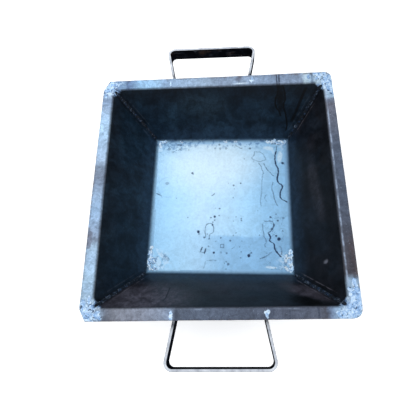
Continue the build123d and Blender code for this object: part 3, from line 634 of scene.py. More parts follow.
def paint_rim(s, ax, ay, u, n6, n16, n40):
    sideways, along, on_right, on_rear, on_front = facing(s, ax, ay)
    place = s.ramp(s.add(along, s.mul(s.sub(n16, 0.5), 9.0)), -200.0, 200.0, 0.0, 1.0, smooth=False)
    # the tones hold painted sky reflection besides the steel's own tone and heat tint
    tones = {}
    for side, rows in RIM_TONES.items():
        tones[side] = s.stops(place, [((a + 200.0) / 400.0, srgb(r * 0.985, g * 0.97, b * 0.93)) for a, r, g, b in rows])
    lr = s.color(s.math("GREATER_THAN", s.x, 0.0), tones["left"], tones["right"])
    fr = s.color(s.math("GREATER_THAN", s.y, 0.0), tones["front"], tones["rear"])
    rim = s.color(sideways, fr, lr)
    # marks across the rim
    for side, at, wide, k in ((on_rear, 103.0, 1.0, 0.85), (on_rear, 107.0, 1.4, 0.8), (on_front, 140.0, 1.4, 0.5), (on_front, 100.0, 0.8, 0.35), (on_rear, 38.0, 2.0, 0.25)):
        d = s.abs(s.sub(s.add(along, s.mul(s.sub(n6, 0.5), 1.6)), at))
        rim = s.color(s.mul(side, s.ramp(d, wide + 0.6, wide - 0.4), k), rim, srgb(44, 54, 74))
    brown_patch = s.mul(s.sub(sideways, on_right), s.oval(along, u, -81.0, 197.0, 13.0, 5.0, 0.0, 0.35, s.mul(s.sub(n6, 0.5), 1.4)))
    rim = s.color(s.mul(brown_patch, 0.75), rim, srgb(104, 108, 124))
    brown_patch = s.mul(on_right, s.oval(along, u, -112.0, 196.0, 30.0, 6.5, 0.0, 0.4, s.mul(s.sub(n6, 0.5), 1.8)))
    rim = s.color(s.mul(brown_patch, s.ramp(n6, 0.40, 0.60, 0.4, 0.9)), rim, srgb(70, 62, 66))
    burn = s.mul(on_rear, s.math("MAXIMUM", s.oval(along, u, -62.0, 200.0, 12.0, 1.8, 0.0, 0.4), s.oval(along, u, 38.0, 196.0, 7.0, 5.0, 30.0, 0.5)))
    rim = s.color(s.mul(burn, 0.6), rim, srgb(98, 100, 118))
    # dark halo round the welds over the handle legs
    for side, at, un, ra, rb in ((on_front, -60.5, 190.0, 3.0, 9.0), (on_front, 68.0, 195.5, 8.0, 4.5), (on_front, 76.0, 189.0, 3.0, 6.0)):
        halo = s.mul(side, s.oval(along, u, at, un, ra, rb, 0.0, 0.5))
        rim = s.color(s.mul(halo, 0.5), rim, srgb(50, 58, 76))
    # painted highlight: a bright glint along the rear bend
    rear_bend_glint = s.mul(on_rear, s.oval(along, u, 40.0, 185.5, 13.0, 1.3, 2.0, 0.5, s.mul(s.sub(n6, 0.5), 2.0)))
    rim = s.color(s.mul(rear_bend_glint, 0.85), rim, srgb(222, 240, 255))
    # grinding marks across it, mottling and grit
    across = s.blend(sideways, s.noise(1.5, 2.0, 0.5, s.stretch(1.0, 0.05, 0.0)), s.noise(1.5, 2.0, 0.5, s.stretch(0.05, 1.0, 0.0)))
    rim = s.times(rim, s.ramp(across, 0.34, 0.68), 0.965, 1.03)
    rim = s.times(rim, s.ramp(s.noise(11.0, 5.0, 0.66, dist=0.8), 0.36, 0.64), 0.80, 1.17)
    rim = s.times(rim, s.ramp(s.noise(3.0, 4.0, 0.68, s.shift(7.0, 3.0)), 0.36, 0.66), 0.88, 1.12)
    # painted highlight: a bright line along the inner bend, strong on the right
    bend_highlight = s.mul(s.band(s.add(u, s.mul(s.sub(n16, 0.5), 1.6)), 183.0, 185.2, 1.0), s.ramp(s.noise(13.0, 3.0, 0.6, s.shift(5.0, 25.0)), 0.40, 0.58, 0.25, 1.0))
    bend_highlight = s.mul(bend_highlight, s.blend(on_right, s.ramp(s.noise(30.0, 2.0), 0.50, 0.62, 0.0, 0.30), 0.80))
    rim = s.color(bend_highlight, rim, srgb(176, 192, 216))
    # scuffs: short bright scratches and dark nicks
    nick = s.noise(2.6, 3.0, 0.7, s.stretch(1.0, 1.0, 1.0, 63.0, 12.0))
    rim = s.color(s.mul(s.ramp(nick, 0.64, 0.70), 0.30), rim, srgb(200, 220, 244))
    rim = s.color(s.mul(s.ramp(nick, 0.37, 0.31), 0.55), rim, srgb(44, 50, 66))
    # the corners carry weld spatter
    rim = s.color(s.mul(s.ramp(s.math("MINIMUM", ax, ay), 160.0, 176.0), s.ramp(s.noise(8.5, 4.0, 0.66, s.shift(21.0, 88.0)), 0.49, 0.56), 0.8), rim, srgb(210, 234, 255))
    rim = s.color(s.mul(s.ramp(s.math("MINIMUM", ax, ay), 158.0, 178.0), s.ramp(s.noise(6.0, 4.0, 0.66, s.shift(2.0, 38.0)), 0.45, 0.40), 0.7), rim, srgb(50, 72, 106))
    # brown dirt towards the outer edge
    dirt = s.mul(s.ramp(u, 196.5, 199.5), s.ramp(n6, 0.44, 0.60), 0.5)
    rim = s.color(dirt, rim, srgb(104, 88, 80))
    return rim


def paint_outside(s, ax, ay, u, n6, n16, n40):
    mitre = s.abs(s.sub(ax, ay))
    outer = s.stops(s.noise(30.0, 6.0, 0.6, dist=0.6), [
        (0.34, srgb(44, 50, 60)), (0.50, srgb(58, 65, 77)), (0.66, srgb(78, 87, 100)),
    ])
    heat = s.ramp(mitre, 20.0, 6.0)
    outer = s.color(s.mul(heat, s.ramp(u, 128.0, 134.0), 0.55), outer, srgb(62, 66, 92))
    outer = s.color(s.mul(s.band(mitre, 9.0, 14.0, 3.0), s.ramp(n16, 0.40, 0.60), 0.40), outer, srgb(112, 88, 66))
    rusty = s.mul(s.ramp(s.noise(19.0, 5.0, 0.64, s.shift(12.0, 7.0)), 0.58, 0.70), 0.55)
    outer = s.color(rusty, outer, srgb(104, 78, 60))
    outer = s.color(s.mul(s.ramp(s.noise(4.0, 4.0, 0.62, s.shift(2.0, 71.0)), 0.60, 0.72), rusty, 1.4), outer, srgb(132, 92, 62))
    run = s.noise(6.0, 3.0, 0.5, s.stretch(1.0, 1.0, 0.05))
    outer = s.color(s.mul(s.ramp(run, 0.60, 0.72), s.ramp(s.z, 20.0, 96.0, 0.05, 0.40)), outer, srgb(126, 134, 142))
    scrape = s.noise(1.2, 2.0, 0.5, s.stretch(0.04, 0.04, 1.0, dz=40.0))
    outer = s.color(s.mul(s.ramp(scrape, 0.66, 0.74), s.ramp(n40, 0.48, 0.62), 0.45), outer, srgb(150, 158, 168))
    outer = s.color(s.mul(s.ramp(s.z, 7.0, 1.5), s.ramp(n6, 0.40, 0.58, 0.15, 0.75)), outer, srgb(128, 134, 142))
    outer = s.times(outer, s.ramp(n6, 0.34, 0.68), 0.86, 1.12)
    return outer


def bar_steel():
    """Hot-rolled flat bar: black faces, bare edges."""
    s = Shader("handle_bar", askew=False)
    face = s.stops(s.noise(18.0, 6.0, 0.6, dist=0.6), [
        (0.35, srgb(8, 9, 13)), (0.52, srgb(14, 16, 22)), (0.66, srgb(27, 30, 38)),
    ])
    fine = s.noise(2.2, 5.0, 0.65)
    face = s.color(s.ramp(fine, 0.56, 0.76, 0.0, 0.45), face, srgb(52, 57, 68))
    rub = s.noise(34.0, 4.0, 0.62, s.shift(20.0, 8.0))
    face = s.color(s.ramp(rub, 0.56, 0.68, 0.0, 0.45), face, srgb(72, 56, 48))
    # painted sheen: the outward faces are a little paler
    out = s.add(s.mul(s.nx, s.x), s.mul(s.ny, s.y))
    face = s.color(s.ramp(out, 5.0, 60.0, 0.0, 0.6), face, srgb(66, 71, 84))
    scr = s.noise(0.9, 2.0, 0.5, s.stretch(0.05, 0.05, 1.0))
    face = s.color(s.mul(s.ramp(scr, 0.63, 0.72), s.ramp(rub, 0.44, 0.54), 0.45), face, srgb(112, 117, 128))
    edge = s.ramp(s.abs(s.nz), 0.82, 0.97)
    bare = s.stops(s.noise(11.0, 5.0, 0.6), [
        (0.34, srgb(176, 180, 188)), (0.50, srgb(208, 211, 217)), (0.64, srgb(228, 231, 235)),
    ])
    bare = s.color(s.ramp(fine, 0.58, 0.74, 0.0, 0.42), bare, srgb(120, 122, 130))
    stain = s.noise(16.0, 4.0, 0.6, s.shift(50.0, 12.0))
    bare = s.color(s.ramp(stain, 0.60, 0.72, 0.0, 0.45), bare, srgb(124, 110, 98))
    # the top edge goes dark where it enters the weld at the rim
    ay = s.abs(s.y)
    bare = s.color(s.mul(s.ramp(ay, 216.0, 202.0), s.ramp(stain, 0.36, 0.50, 0.45, 0.9)), bare, srgb(40, 42, 50))
    col = s.color(edge, face, bare)
    roll = s.noise(1.5, 2.0, 0.5, s.stretch(0.05, 0.05, 1.0))
    rough = s.ramp(s.noise(10.0, 4.0), 0.35, 0.70, 0.36, 0.56)
    h = s.add(s.mul(roll, 0.5), s.mul(fine, 0.5))
    return s.finish(col, rough, s.mul(edge, 0.4), s.bump(h, 0.12, 0.7), 0.0)


def weld_metal(name, low, mid, high, pits, rough=(0.28, 0.5), metal=0.5, tint=0.2, spec=0.4, at=(0.34, 0.50, 0.64), brown=0.0):
    """Weld metal: dark in its creases, its brightest colour a painted highlight."""
    s = Shader(name)
    p = s.ramp(s.point, 0.38, 0.56)
    grit = s.noise(6.0, 5.0, 0.68, dist=0.7)
    f = s.add(s.mul(p, 0.12), s.mul(grit, 0.88))
    # the last stop, high, is a painted highlight: bright glints on the weld metal
    col = s.stops(f, [(at[0], low), (at[1], mid), (at[2], high)])
    heat = s.noise(8.0, 3.0, 0.6, s.shift(4.0, 4.0))
    col = s.color(s.ramp(heat, 0.55, 0.70, 0.0, tint), col, srgb(84, 108, 146))
    col = s.color(s.ramp(heat, 0.42, 0.28, 0.0, brown), col, srgb(140, 130, 126))
    holes = s.noise(4.6, 4.0, 0.62, s.shift(90.0, 3.0))
    col = s.color(s.ramp(holes, 0.575, 0.625, 0.0, pits), col, srgb(40, 62, 92))
    r = s.ramp(grit, 0.35, 0.70, rough[0], rough[1])
    h = s.sub(s.mul(s.noise(1.3, 4.0, 0.6), 0.6), s.ramp(holes, 0.55, 0.63))
    return s.finish(col, r, metal, s.bump(h, 0.16, 0.8), spec)


M_FLOOR, M_WALL, M_RIM, M_OUT = (pan_sheet(zone) for zone in ("floor", "wall", "rim", "outside"))
M_BAR = bar_steel()
# the third colour of each weld metal is its painted highlight
M_BRIGHT = weld_metal("bright_weld", srgb(78, 112, 160), srgb(154, 190, 230), srgb(220, 240, 255), 0.9)
M_FLOORWELD = weld_metal("floor_weld", srgb(96, 140, 190), srgb(178, 214, 247), srgb(224, 243, 255), 0.7, at=(0.36, 0.50, 0.60))
M_PLUG = weld_metal("plug_weld", srgb(118, 156, 204), srgb(194, 222, 250), srgb(232, 246, 255), 0.35)
M_SEAM = weld_metal("seam_weld", srgb(8, 14, 21), srgb(16, 26, 37), srgb(104, 118, 136), 0.7, (0.42, 0.6), 0.05, 0.06, 0.12, (0.36, 0.58, 0.70))
M_UNDER = weld_metal("under_weld", srgb(26, 28, 34), srgb(60, 65, 74), srgb(140, 144, 152), 0.5, (0.32, 0.55), 0.3, 0.3, 0.3, brown=0.35)

for node in ("front_handle", "rear_handle"):
    NODES[node].data.materials.clear()
    NODES[node].data.materials.append(M_BAR)

# ---------------------------------------------------------------------------
# Meshes, all given in mm on the ideal pan
# ---------------------------------------------------------------------------
def make(name, verts, faces, mat, smooth=True, settled=True, sharp=None, pick=None):
    me = bpy.data.meshes.new(name)
    pts = [settle(*v) for v in verts] if settled else verts
    me.from_pydata([tuple(c * MM for c in v) for v in pts], [], faces)
    me.validate()
    if sharp is not None:
        b = bmesh.new()
        b.from_mesh(me)
        bmesh.ops.recalc_face_normals(b, faces=b.faces)
        b.to_mesh(me)
        b.free()
    me.update()
    mats = mat if isinstance(mat, tuple) else (mat,)
    for m in mats:
        me.materials.append(m)
    if pick is not None:
        me.polygons.foreach_set("material_index", [pick(q.center / MM, q.normal) for q in me.polygons])
    me.polygons.foreach_set("use_smooth", [smooth] * len(me.polygons))
    if sharp is not None:
        me.set_sharp_from_angle(angle=math.radians(sharp))
    ob = bpy.data.objects.new(name, me)
    bpy.context.scene.collection.objects.link(ob)
    return ob


def own(ob, slot, *nodes):
    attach(ob, "root")
    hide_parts(*nodes)
    return ob


def nz3(x, y, z, size):
    return noise.noise(Vector((x / size, y / size, z / size)))


# ---- rim outline, each corner clipped or rounded by hand --------------------
def corner_points(c, a, b, da, db, rounds):
    ca = (c[0] + (a[0] - c[0]) * da / math.dist(a, c), c[1] + (a[1] - c[1]) * da / math.dist(a, c))
    cb = (c[0] + (b[0] - c[0]) * db / math.dist(b, c), c[1] + (b[1] - c[1]) * db / math.dist(b, c))
    if not rounds:
        return [ca, cb]
    out = []
    for i in range(9):
        t = i / 8
        out.append((
            (1 - t) ** 2 * ca[0] + 2 * t * (1 - t) * c[0] + t * t * cb[0],
            (1 - t) ** 2 * ca[1] + 2 * t * (1 - t) * c[1] + t * t * cb[1],
        ))
    return out


FL, FR, RR, RL = (-201.0, -200.0), (201.0, -198.0), (196.5, 203.0), (-199.0, 199.0)
OUTLINE = (
    corner_points(FL, RL, FR, 17.5, 10.5, False)
    + corner_points(FR, FL, RR, 17.0, 17.0, True)
    + corner_points(RR, FR, RL, 13.0, 13.0, True)
    + corner_points(RL, RR, FL, 10.0, 19.0, False)
)


def in_rim(x, y, grow=0.3):
    for (ax, ay), (bx, by) in zip(OUTLINE, OUTLINE[1:] + OUTLINE[:1]):
        ex, ey = bx - ax, by - ay
        if ((x - ax) * ey - (y - ay) * ex) / math.hypot(ex, ey) > grow:
            return False
    return True


def rim_edge(side, along):
    """How far out the rim reaches on a side, at a place along it."""
    best = 0.0
    for a, b in zip(OUTLINE, OUTLINE[1:] + OUTLINE[:1]):
        if side in ("left", "right"):
            a, b = (a[1], a[0]), (b[1], b[0])
        sign = -1.0 if side in ("left", "front") else 1.0
        if (a[0] - along) * (b[0] - along) > 0.0 or a[0] == b[0]:
            continue
        u = a[1] + (b[1] - a[1]) * (along - a[0]) / (b[0] - a[0])
        best = max(best, sign * u)
    return best + 0.22 * nz3(along, len(side) * 31.0, 0.0, 11.0)


def zone_of(c, n):
    """Which of the sheet's materials a face has: floor, wall, rim or outside."""
    if n.z < -0.02:
        return 3
    u = max(abs(c.x), abs(c.y))
    return 0 if u < 119.0 and c.z < 6.0 else (2 if c.z > 96.0 else 1)


SHEET_MATS = (M_FLOOR, M_WALL, M_RIM, M_OUT)


# ---- the folded sheet ---------------------------------------------------------
def place(side, u, along):
    return {"left": (-u, along), "right": (u, along), "front": (along, -u), "rear": (along, u)}[side]


def profile(r_foot, r_rim, z_flat, z_top):
    """(u, z) from the floor plate's edge to the start of the flange, along one face of the sheet."""
    pts = [(PLATE, z_flat)]
    for i in range(7):
        a = SLOPE * i / 6
        pts.append((FOOT_T + r_foot * math.sin(a), z_flat + r_foot * (1.0 - math.cos(a))))
    tail = []
    for i in range(7):
        a = SLOPE * (1.0 - i / 6)
        tail.append((RIM_T - r_rim * math.sin(a), z_top - r_rim * (1.0 - math.cos(a))))
    a, b = pts[-1], tail[0]
    for i in range(1, 16):
        pts.append((a[0] + (b[0] - a[0]) * i / 16, a[1] + (b[1] - a[1]) * i / 16))
    return pts + tail


N = 96
upper = profile(FOOT_R, RIM_R, SHEET, RIM_Z)
lower = profile(FOOT_R + SHEET, RIM_R - SHEET, 0.0, RIM_Z - SHEET)

for side in ("front", "rear", "left", "right"):
    verts, faces = [], []
    rows = {}
    for face, prof, z, dirn in (("up", upper, RIM_Z, -1.0), ("low", lower, RIM_Z - SHEET, 1.0)):
        got = []
        for u, h in prof:
            row = []
            for j in range(N + 1):
                t = -1.0 + 2.0 * j / N
                row.append(len(verts))
                verts.append((*place(side, u, t * u), h))
            got.append(row)
        for f, back, drop in ((0.25, 0.0, 0.0), (0.5, 0.0, 0.0), (0.75, 0.0, 0.0), (1.0, 0.4, 0.0), (1.0, 0.12, 0.11), (1.0, 0.0, 0.4)):
            row = []
            for j in range(N + 1):
                along = (-1.0 + 2.0 * j / N) * RIM_T
                u = RIM_T + (rim_edge(side, along) - RIM_T) * f - back
                row.append(len(verts))
                verts.append((*place(side, u, along), z + dirn * drop))
            got.append(row)
        rows[face] = got
    up, low = rows["up"], rows["low"]
    last = len(up) - 1
    for rr in (up, low):
        for i in range(last):
            for j in range(N):
                faces.append((rr[i][j], rr[i][j + 1], rr[i + 1][j + 1], rr[i + 1][j]))
    for j in range(N):
        faces.append((up[0][j], up[0][j + 1], low[0][j + 1], low[0][j]))
        faces.append((up[last][j], up[last][j + 1], low[last][j + 1], low[last][j]))
    for i in range(last):
        for j in (0, N):
            faces.append((up[i][j], up[i + 1][j], low[i + 1][j], low[i][j]))
    own(make(f"sheet_{side}", verts, faces, SHEET_MATS, sharp=32.0, pick=zone_of), "wall_sheet", f"{side}_wall")

verts, faces = [], []
book = {}
for k, z in enumerate((SHEET, 0.0)):
    for i in range(N + 1):
        for j in range(N + 1):
            book[k, i, j] = len(verts)
            verts.append((PLATE * (-1.0 + 2.0 * i / N), PLATE * (-1.0 + 2.0 * j / N), z))
for k in (0, 1):
    for i in range(N):
        for j in range(N):
            faces.append((book[k, i, j], book[k, i + 1, j], book[k, i + 1, j + 1], book[k, i, j + 1]))
for i in range(N):
    for e in (0, N):
        faces.append((book[0, i, e], book[0, i + 1, e], book[1, i + 1, e], book[1, i, e]))
        faces.append((book[0, e, i], book[0, e, i + 1], book[1, e, i + 1], book[1, e, i]))
own(make("sheet_floor", verts, faces, SHEET_MATS, sharp=32.0, pick=zone_of), "floor_sheet", "floor_plate")

CORNERS = {
    "front_left": (-1, -1), "front_right": (1, -1), "rear_left": (-1, 1), "rear_right": (1, 1),
}
for corner, (sx, sy) in CORNERS.items():
    side_x, side_y = ("left" if sx < 0 else "right"), ("front" if sy < 0 else "rear")
    ux, uy = rim_edge(side_x, sy * RIM_T), rim_edge(side_y, sx * RIM_T)
    ring = [(sx * RIM_T, sy * RIM_T), (sx * ux, sy * RIM_T)]
    own_pts = [p for p in OUTLINE if p[0] * sx > RIM_T + 0.2 and p[1] * sy > RIM_T + 0.2]
    own_pts.sort(key=lambda p: math.atan2((p[1] - sy * RIM_T) * sy, (p[0] - sx * RIM_T) * sx))
    ring += own_pts + [(sx * RIM_T, sy * uy)]
    dense = []
    for a, b in zip(ring, ring[1:] + ring[:1]):
        n = max(1, round(math.dist(a, b) / 1.8))
        dense += [(a[0] + (b[0] - a[0]) * i / n, a[1] + (b[1] - a[1]) * i / n) for i in range(n)]
    cx = sum(p[0] for p in dense) / len(dense)
    cy = sum(p[1] for p in dense) / len(dense)
    verts, faces = [], []
    levels = [(0.35, 0.0), (0.7, 0.0), (0.955, 0.0), (0.985, 0.1), (1.0, 0.4)]
    m = len(dense)
    for z, d in ((RIM_Z, -1.0), (RIM_Z - SHEET, 1.0)):
        order = levels if d < 0 else levels[::-1]
        for f, drop in order:
            for x, y in dense:
                verts.append((cx + (x - cx) * f, cy + (y - cy) * f, z + d * drop))
    for i in range(len(levels) * 2 - 1):
        for j in range(m):
            a, b = i * m + j, i * m + (j + 1) % m
            faces.append((a, b, b + m, a + m))
    top, bot = len(verts), len(verts) + 1
    verts += [(cx, cy, RIM_Z), (cx, cy, RIM_Z - SHEET)]
    base = (len(levels) * 2 - 1) * m
    for j in range(m):
        faces.append((top, j, (j + 1) % m))
        faces.append((bot, base + j, base + (j + 1) % m))
    own(make(f"corner_plate_{corner}", verts, faces, SHEET_MATS, sharp=32.0, pick=zone_of), "rim_corner_plate", f"rim_corner_{corner}")


# ---- weld metal ---------------------------------------------------------------
def surface_z(x, y):
    """Height of the pan's inside face over a point of the plan."""
    u = max(abs(x), abs(y))
    if u <= FOOT_T:
        return SHEET
    bend = FOOT_T + FOOT_R * math.sin(SLOPE)
    if u <= bend:
        return SHEET + FOOT_R - math.sqrt(max(FOOT_R**2 - (u - FOOT_T) ** 2, 0.0))
    top = RIM_T - RIM_R * math.sin(SLOPE)
    if u <= top:
        return SHEET + (u - FOOT) * math.tan(SLOPE)
    if u <= RIM_T:
        return RIM_Z - RIM_R + math.sqrt(max(RIM_R**2 - (RIM_T - u) ** 2, 0.0))
    return RIM_Z


def crust(name, blobs, mat, slot, node, step=0.6, keep=None, sink=0.45, seed=0.0, rough=0.55):
    """A closed mesh of weld metal on the pan: uneven lumps on top, its underside sunk into the sheet."""
    xs = [b[0] for b in blobs]
    ys = [b[1] for b in blobs]
    pad = max(b[2] * b[4] for b in blobs) + 1.5
    nx = int((max(xs) - min(xs) + 2 * pad) / step) + 1
    ny = int((max(ys) - min(ys) + 2 * pad) / step) + 1
    x0, y0 = min(xs) - pad, min(ys) - pad
    h = np.zeros((nx, ny))
    for i in range(nx):
        for j in range(ny):
            x, y = x0 + i * step, y0 + j * step
            if keep is not None and not keep(x, y):
                continue
            wx = x + 1.1 * nz3(x, y, seed, 5.0)
            wy = y + 1.1 * nz3(x, y, seed + 50.0, 5.0)
            e, hh = 0.0, 0.0
            for bx, by, r, bh, ex, ca, sa in blobs:
                dx, dy = wx - bx, wy - by
                a, b = (dx * ca + dy * sa) / ex, -dx * sa + dy * ca
                d = 1.0 - (a * a + b * b) / (r * r)
                if d > 0.0:
                    e = max(e, d)
                    hh = max(hh, bh * min(1.0, 2.2 * d) ** 0.7)
            if e <= 0.0:
                continue
            f = 0.5 + 0.9 * nz3(x, y, seed + 9.0, 4.2) + 0.55 * nz3(x, y, seed + 19.0, 2.0) + 0.25 * nz3(x, y, seed + 29.0, 1.1)
            h[i, j] = hh * (1.0 - rough + rough * max(0.0, min(1.25, f)) * 1.5)
    on = h > 0.06
    cell = on[:-1, :-1] & on[1:, :-1] & on[1:, 1:] & on[:-1, 1:]
    for _ in range(4):
        a, b = cell[:-1, :-1], cell[1:, 1:]
        c, d = cell[1:, :-1], cell[:-1, 1:]
        bad1 = a & b & ~c & ~d
        bad2 = c & d & ~a & ~b
        if not (bad1.any() or bad2.any()):
            break
        cell[:-1, :-1][bad1] = False
        cell[1:, :-1][bad2] = False
    books, verts, faces = ({}, {}), [], []

    def vert(i, j, top):
        book = books[top]
        if (i, j) not in book:
            x, y = x0 + i * step, y0 + j * step
            z = surface_z(x, y)
            edge = not all(
                0 <= i - a < cell.shape[0] and 0 <= j - b < cell.shape[1] and cell[i - a, j - b]
                for a in (0, 1) for b in (0, 1)
            )
            book[(i, j)] = len(verts)
            verts.append((x, y, z + (0.03 if edge else h[i, j]) if top else z - sink))
        return book[(i, j)]

    for i, j in zip(*np.nonzero(cell)):
        q = [(i, j), (i + 1, j), (i + 1, j + 1), (i, j + 1)]
        faces.append([vert(*k, 1) for k in q])
        faces.append([vert(*k, 0) for k in reversed(q)])
        for (a, b), (di, dj) in zip(
            ((q[0], q[1]), (q[1], q[2]), (q[2], q[3]), (q[3], q[0])), ((0, -1), (1, 0), (0, 1), (-1, 0))
        ):
            ii, jj = i + di, j + dj
            if not (0 <= ii < cell.shape[0] and 0 <= jj < cell.shape[1] and cell[ii, jj]):
                faces.append([vert(*a, 0), vert(*b, 0), vert(*b, 1), vert(*a, 1)])
    return own(make(name, verts, faces, mat), slot, node)


def drops(path, seed, gap=1.7, r=(2.2, 3.4), h=(0.55, 1.15), side=1.2, long=(1.0, 1.35)):
    """Overlapping drops laid along a path of (x, y) points."""
    rng = np.random.default_rng(seed)
    out = []
    for a, b in zip(path[:-1], path[1:]):
        a, b = np.array(a, float), np.array(b, float)
        n = max(1, int(np.linalg.norm(b - a) / gap))
        d = (b - a) / max(np.linalg.norm(b - a), 1e-6)
        for k in range(n):
            c = a + (b - a) * (k + rng.uniform(0.2, 0.8)) / n
            c = c + np.array([-d[1], d[0]]) * rng.normal(0.0, side)
            ang = math.atan2(d[1], d[0]) + rng.normal(0.0, 0.5) + math.pi / 2
            out.append((
                c[0], c[1], rng.uniform(*r), rng.uniform(*h), rng.uniform(*long), math.cos(ang), math.sin(ang),
            ))
    return out


def bead(p0, p1, up, half, crown, v_half, seed, pitch=2.3, step=0.4, n=13, sink=0.5, ripple=0.22, wobble=0.22):
    """Rippled bead from p0 to p1. up points out of the joint, half is its half width, crown its height over the
    line between its toes, and v_half the half angle of the joint it lies in (pi/2 on a flat face)."""
    rng = np.random.default_rng(seed)
    p0, p1, up = Vector(p0), Vector(p1), Vector(up).normalized()
    d = (p1 - p0).normalized()
    up = (up - d * up.dot(d)).normalized()
    across = d.cross(up).normalized()
    length = (p1 - p0).length
    rings = max(8, int(length / step))
    phase = np.cumsum(rng.uniform(0.75, 1.25, rings + 1)) * step / pitch
    k = 1.0 / math.tan(v_half) if v_half < math.pi / 2 - 1e-6 else 0.0
    verts, faces = [], []
    off = seed * 7.13
    for i in range(rings + 1):
        t = i / rings
        ease = min(1.0, t * length / 2.5, (1.0 - t) * length / 2.5)
        ease = math.sqrt(max(ease, 0.02))
        w = half * (1.0 + wobble * nz3(t * length, off, 0.0, 6.0)) * (0.55 + 0.45 * ease)
        c = crown * (1.0 + 1.6 * wobble * nz3(t * length, off + 40.0, 0.0, 5.0)) * ease
        mid = 0.5 * nz3(t * length, off + 80.0, 0.0, 9.0)
        centre = p0 + d * (t * length) + across * mid * 0.6
        toe = w * k
        for j in range(n):
            s = -1.0 + 2.0 * j / (n - 1)
            ph = (phase[i] + 0.42 * s * s) % 1.0
            r = ripple * (ph ** 0.6 - 0.5) * (1.0 - s * s) ** 0.5
            z = toe + c * (1.0 - abs(s) ** 2.2) + r * ease + 0.10 * nz3(t * length, s * w, off, 1.3)
            verts.append(tuple(centre + across * (w * s) + up * z))
        for j in range(n - 2, 0, -1):
            s = -1.0 + 2.0 * j / (n - 1)
            verts.append(tuple(centre + across * (w * s * 0.96) + up * (abs(s) * w * k * 0.96 - sink)))
    m = 2 * n - 2
    for i in range(rings):
        for j in range(m):
            a, b = i * m + j, i * m + (j + 1) % m
            faces.append((a, b, b + m, a + m))
    faces.append(tuple(reversed(range(m))))
    faces.append(tuple(rings * m + j for j in range(m)))
    return verts, faces


def joined(name, parts, mat, node, settled=True):
    verts, faces = [], []
    for v, f in parts:
        n = len(verts)
        verts += v
        faces += [tuple(i + n for i in q) for q in f]
    return own(make(name, verts, faces, mat, settled=settled), "weld_metal", node)


DIHEDRAL = math.pi - math.acos(math.cos(SLOPE) ** 2)
for k, (corner, (sx, sy)) in enumerate(CORNERS.items()):
    foot = Vector((sx * FOOT, sy * FOOT, SHEET))
    mouth = Vector((sx * MOUTH, sy * MOUTH, RIM_Z))
    rise = (mouth - foot).normalized()
    inward = Vector((-sx, -sy, 0.0)).normalized()
    inward = (inward - rise * inward.dot(rise)).normalized()
    gap = SHEET / math.sin(DIHEDRAL / 2)
    parts = [
        bead(foot + rise * 5.0, mouth - rise * 4.2, inward, 2.5, 0.25, DIHEDRAL / 2, 11 + k, ripple=0.3, wobble=0.4),
        bead(foot - inward * (gap - 0.2) + rise * 4.2, mouth - inward * (gap - 0.2) - rise * 6.0,
             -inward, 2.6, 1.3, math.pi / 2, 31 + k, pitch=2.7, sink=1.4),
    ]
    joined(f"seam_bead_{corner}", parts, M_SEAM, f"corner_seam_weld_{corner}")

# The lumps at each rim corner: weld paths over the joints and over the plate.
RIM_PATHS = {
    "front_left": [
        [(-185, -184), (-185, -199)], [(-184, -185), (-200, -185)], [(-188, -189), (-197, -196)],
        [(-193, -184), (-197, -172)], [(-187, -176), (-188, -166)], [(-180, -192), (-168, -194)],
        [(-176, -188), (-170, -187)], [(-192, -194), (-182, -197)], [(-197, -190), (-198, -180)],
        [(-182, -182), (-178.5, -178.5)], [(-186, -180), (-180, -186)],
    ],
    "front_right": [
        [(185, -184), (185, -197)], [(184, -185), (200, -185)], [(189, -189), (198, -193)],
        [(192, -182), (194, -146)], [(188, -180), (188, -158)], [(197, -180), (198, -160)],
        [(180, -190), (166, -192)], [(176, -195), (168, -196)], [(190, -195), (180, -196)],
        [(182, -182), (178.5, -178.5)], [(186, -180), (180, -186)],
    ],
    "rear_left": [
        [(-185, 184), (-185, 198)], [(-184, 185), (-198, 185)], [(-188, 189), (-194, 192)],
        [(-181, 190), (-176, 194)], [(-190, 181), (-196, 178)], [(-192, 172), (-194, 166)],
        [(-182, 182), (-178.5, 178.5)], [(-186, 180), (-180, 186)],
    ],
    "rear_right": [
        [(185, 184), (185, 201)], [(184, 185), (197, 185)], [(188, 190), (194, 196)],
        [(180, 196), (168, 198)], [(178, 190), (170, 191)], [(192, 180), (194, 160)],
        [(189, 176), (189, 164)], [(160, 196), (158, 192)],
        [(182, 182), (178.5, 178.5)], [(186, 180), (180, 186)],
    ],
}
for k, (corner, paths) in enumerate(RIM_PATHS.items()):
    blobs = []
    for i, path in enumerate(paths):
        blobs += drops(path, 100 + 10 * k + i, gap=1.5, r=(2.2, 3.8), h=(0.6, 1.3), side=1.0)
    crust(f"rim_lumps_{corner}", blobs, M_BRIGHT, "weld_metal", f"rim_weld_{corner}",
          keep=lambda x, y: in_rim(x, y, -0.35), seed=10.0 * k, rough=0.45)

# Weld patches at the corners of the floor.
FLOOR_PATHS = {
    "front_left": [[(-121, -121), (-121.5, -80)], [(-116, -119), (-108, -117)], [(-122, -116), (-122.5, -100)], [(-114, -110), (-117, -100)]],
    "front_right": [[(121, -121), (121.5, -84)], [(117, -119), (112, -112)], [(122.5, -118), (122.5, -100)], [(112, -104), (116, -92)]],
    "rear_left": [[(-121, 121), (-108, 121.5)], [(-119, 118), (-118, 110)]],
    "rear_right": [[(120, 121), (86, 121.8)], [(116, 119), (104, 119)]],
}
for k, (corner, paths) in enumerate(FLOOR_PATHS.items()):
    blobs = []
    for i, path in enumerate(paths):
        blobs += drops(path, 200 + 10 * k + i, gap=1.6, r=(1.9, 3.1), h=(0.40, 0.80), side=0.8)
    crust(f"floor_weld_{corner}", blobs, M_FLOORWELD, "weld_metal", f"floor_corner_weld_{corner}", seed=5.0 + 10.0 * k, rough=0.35)

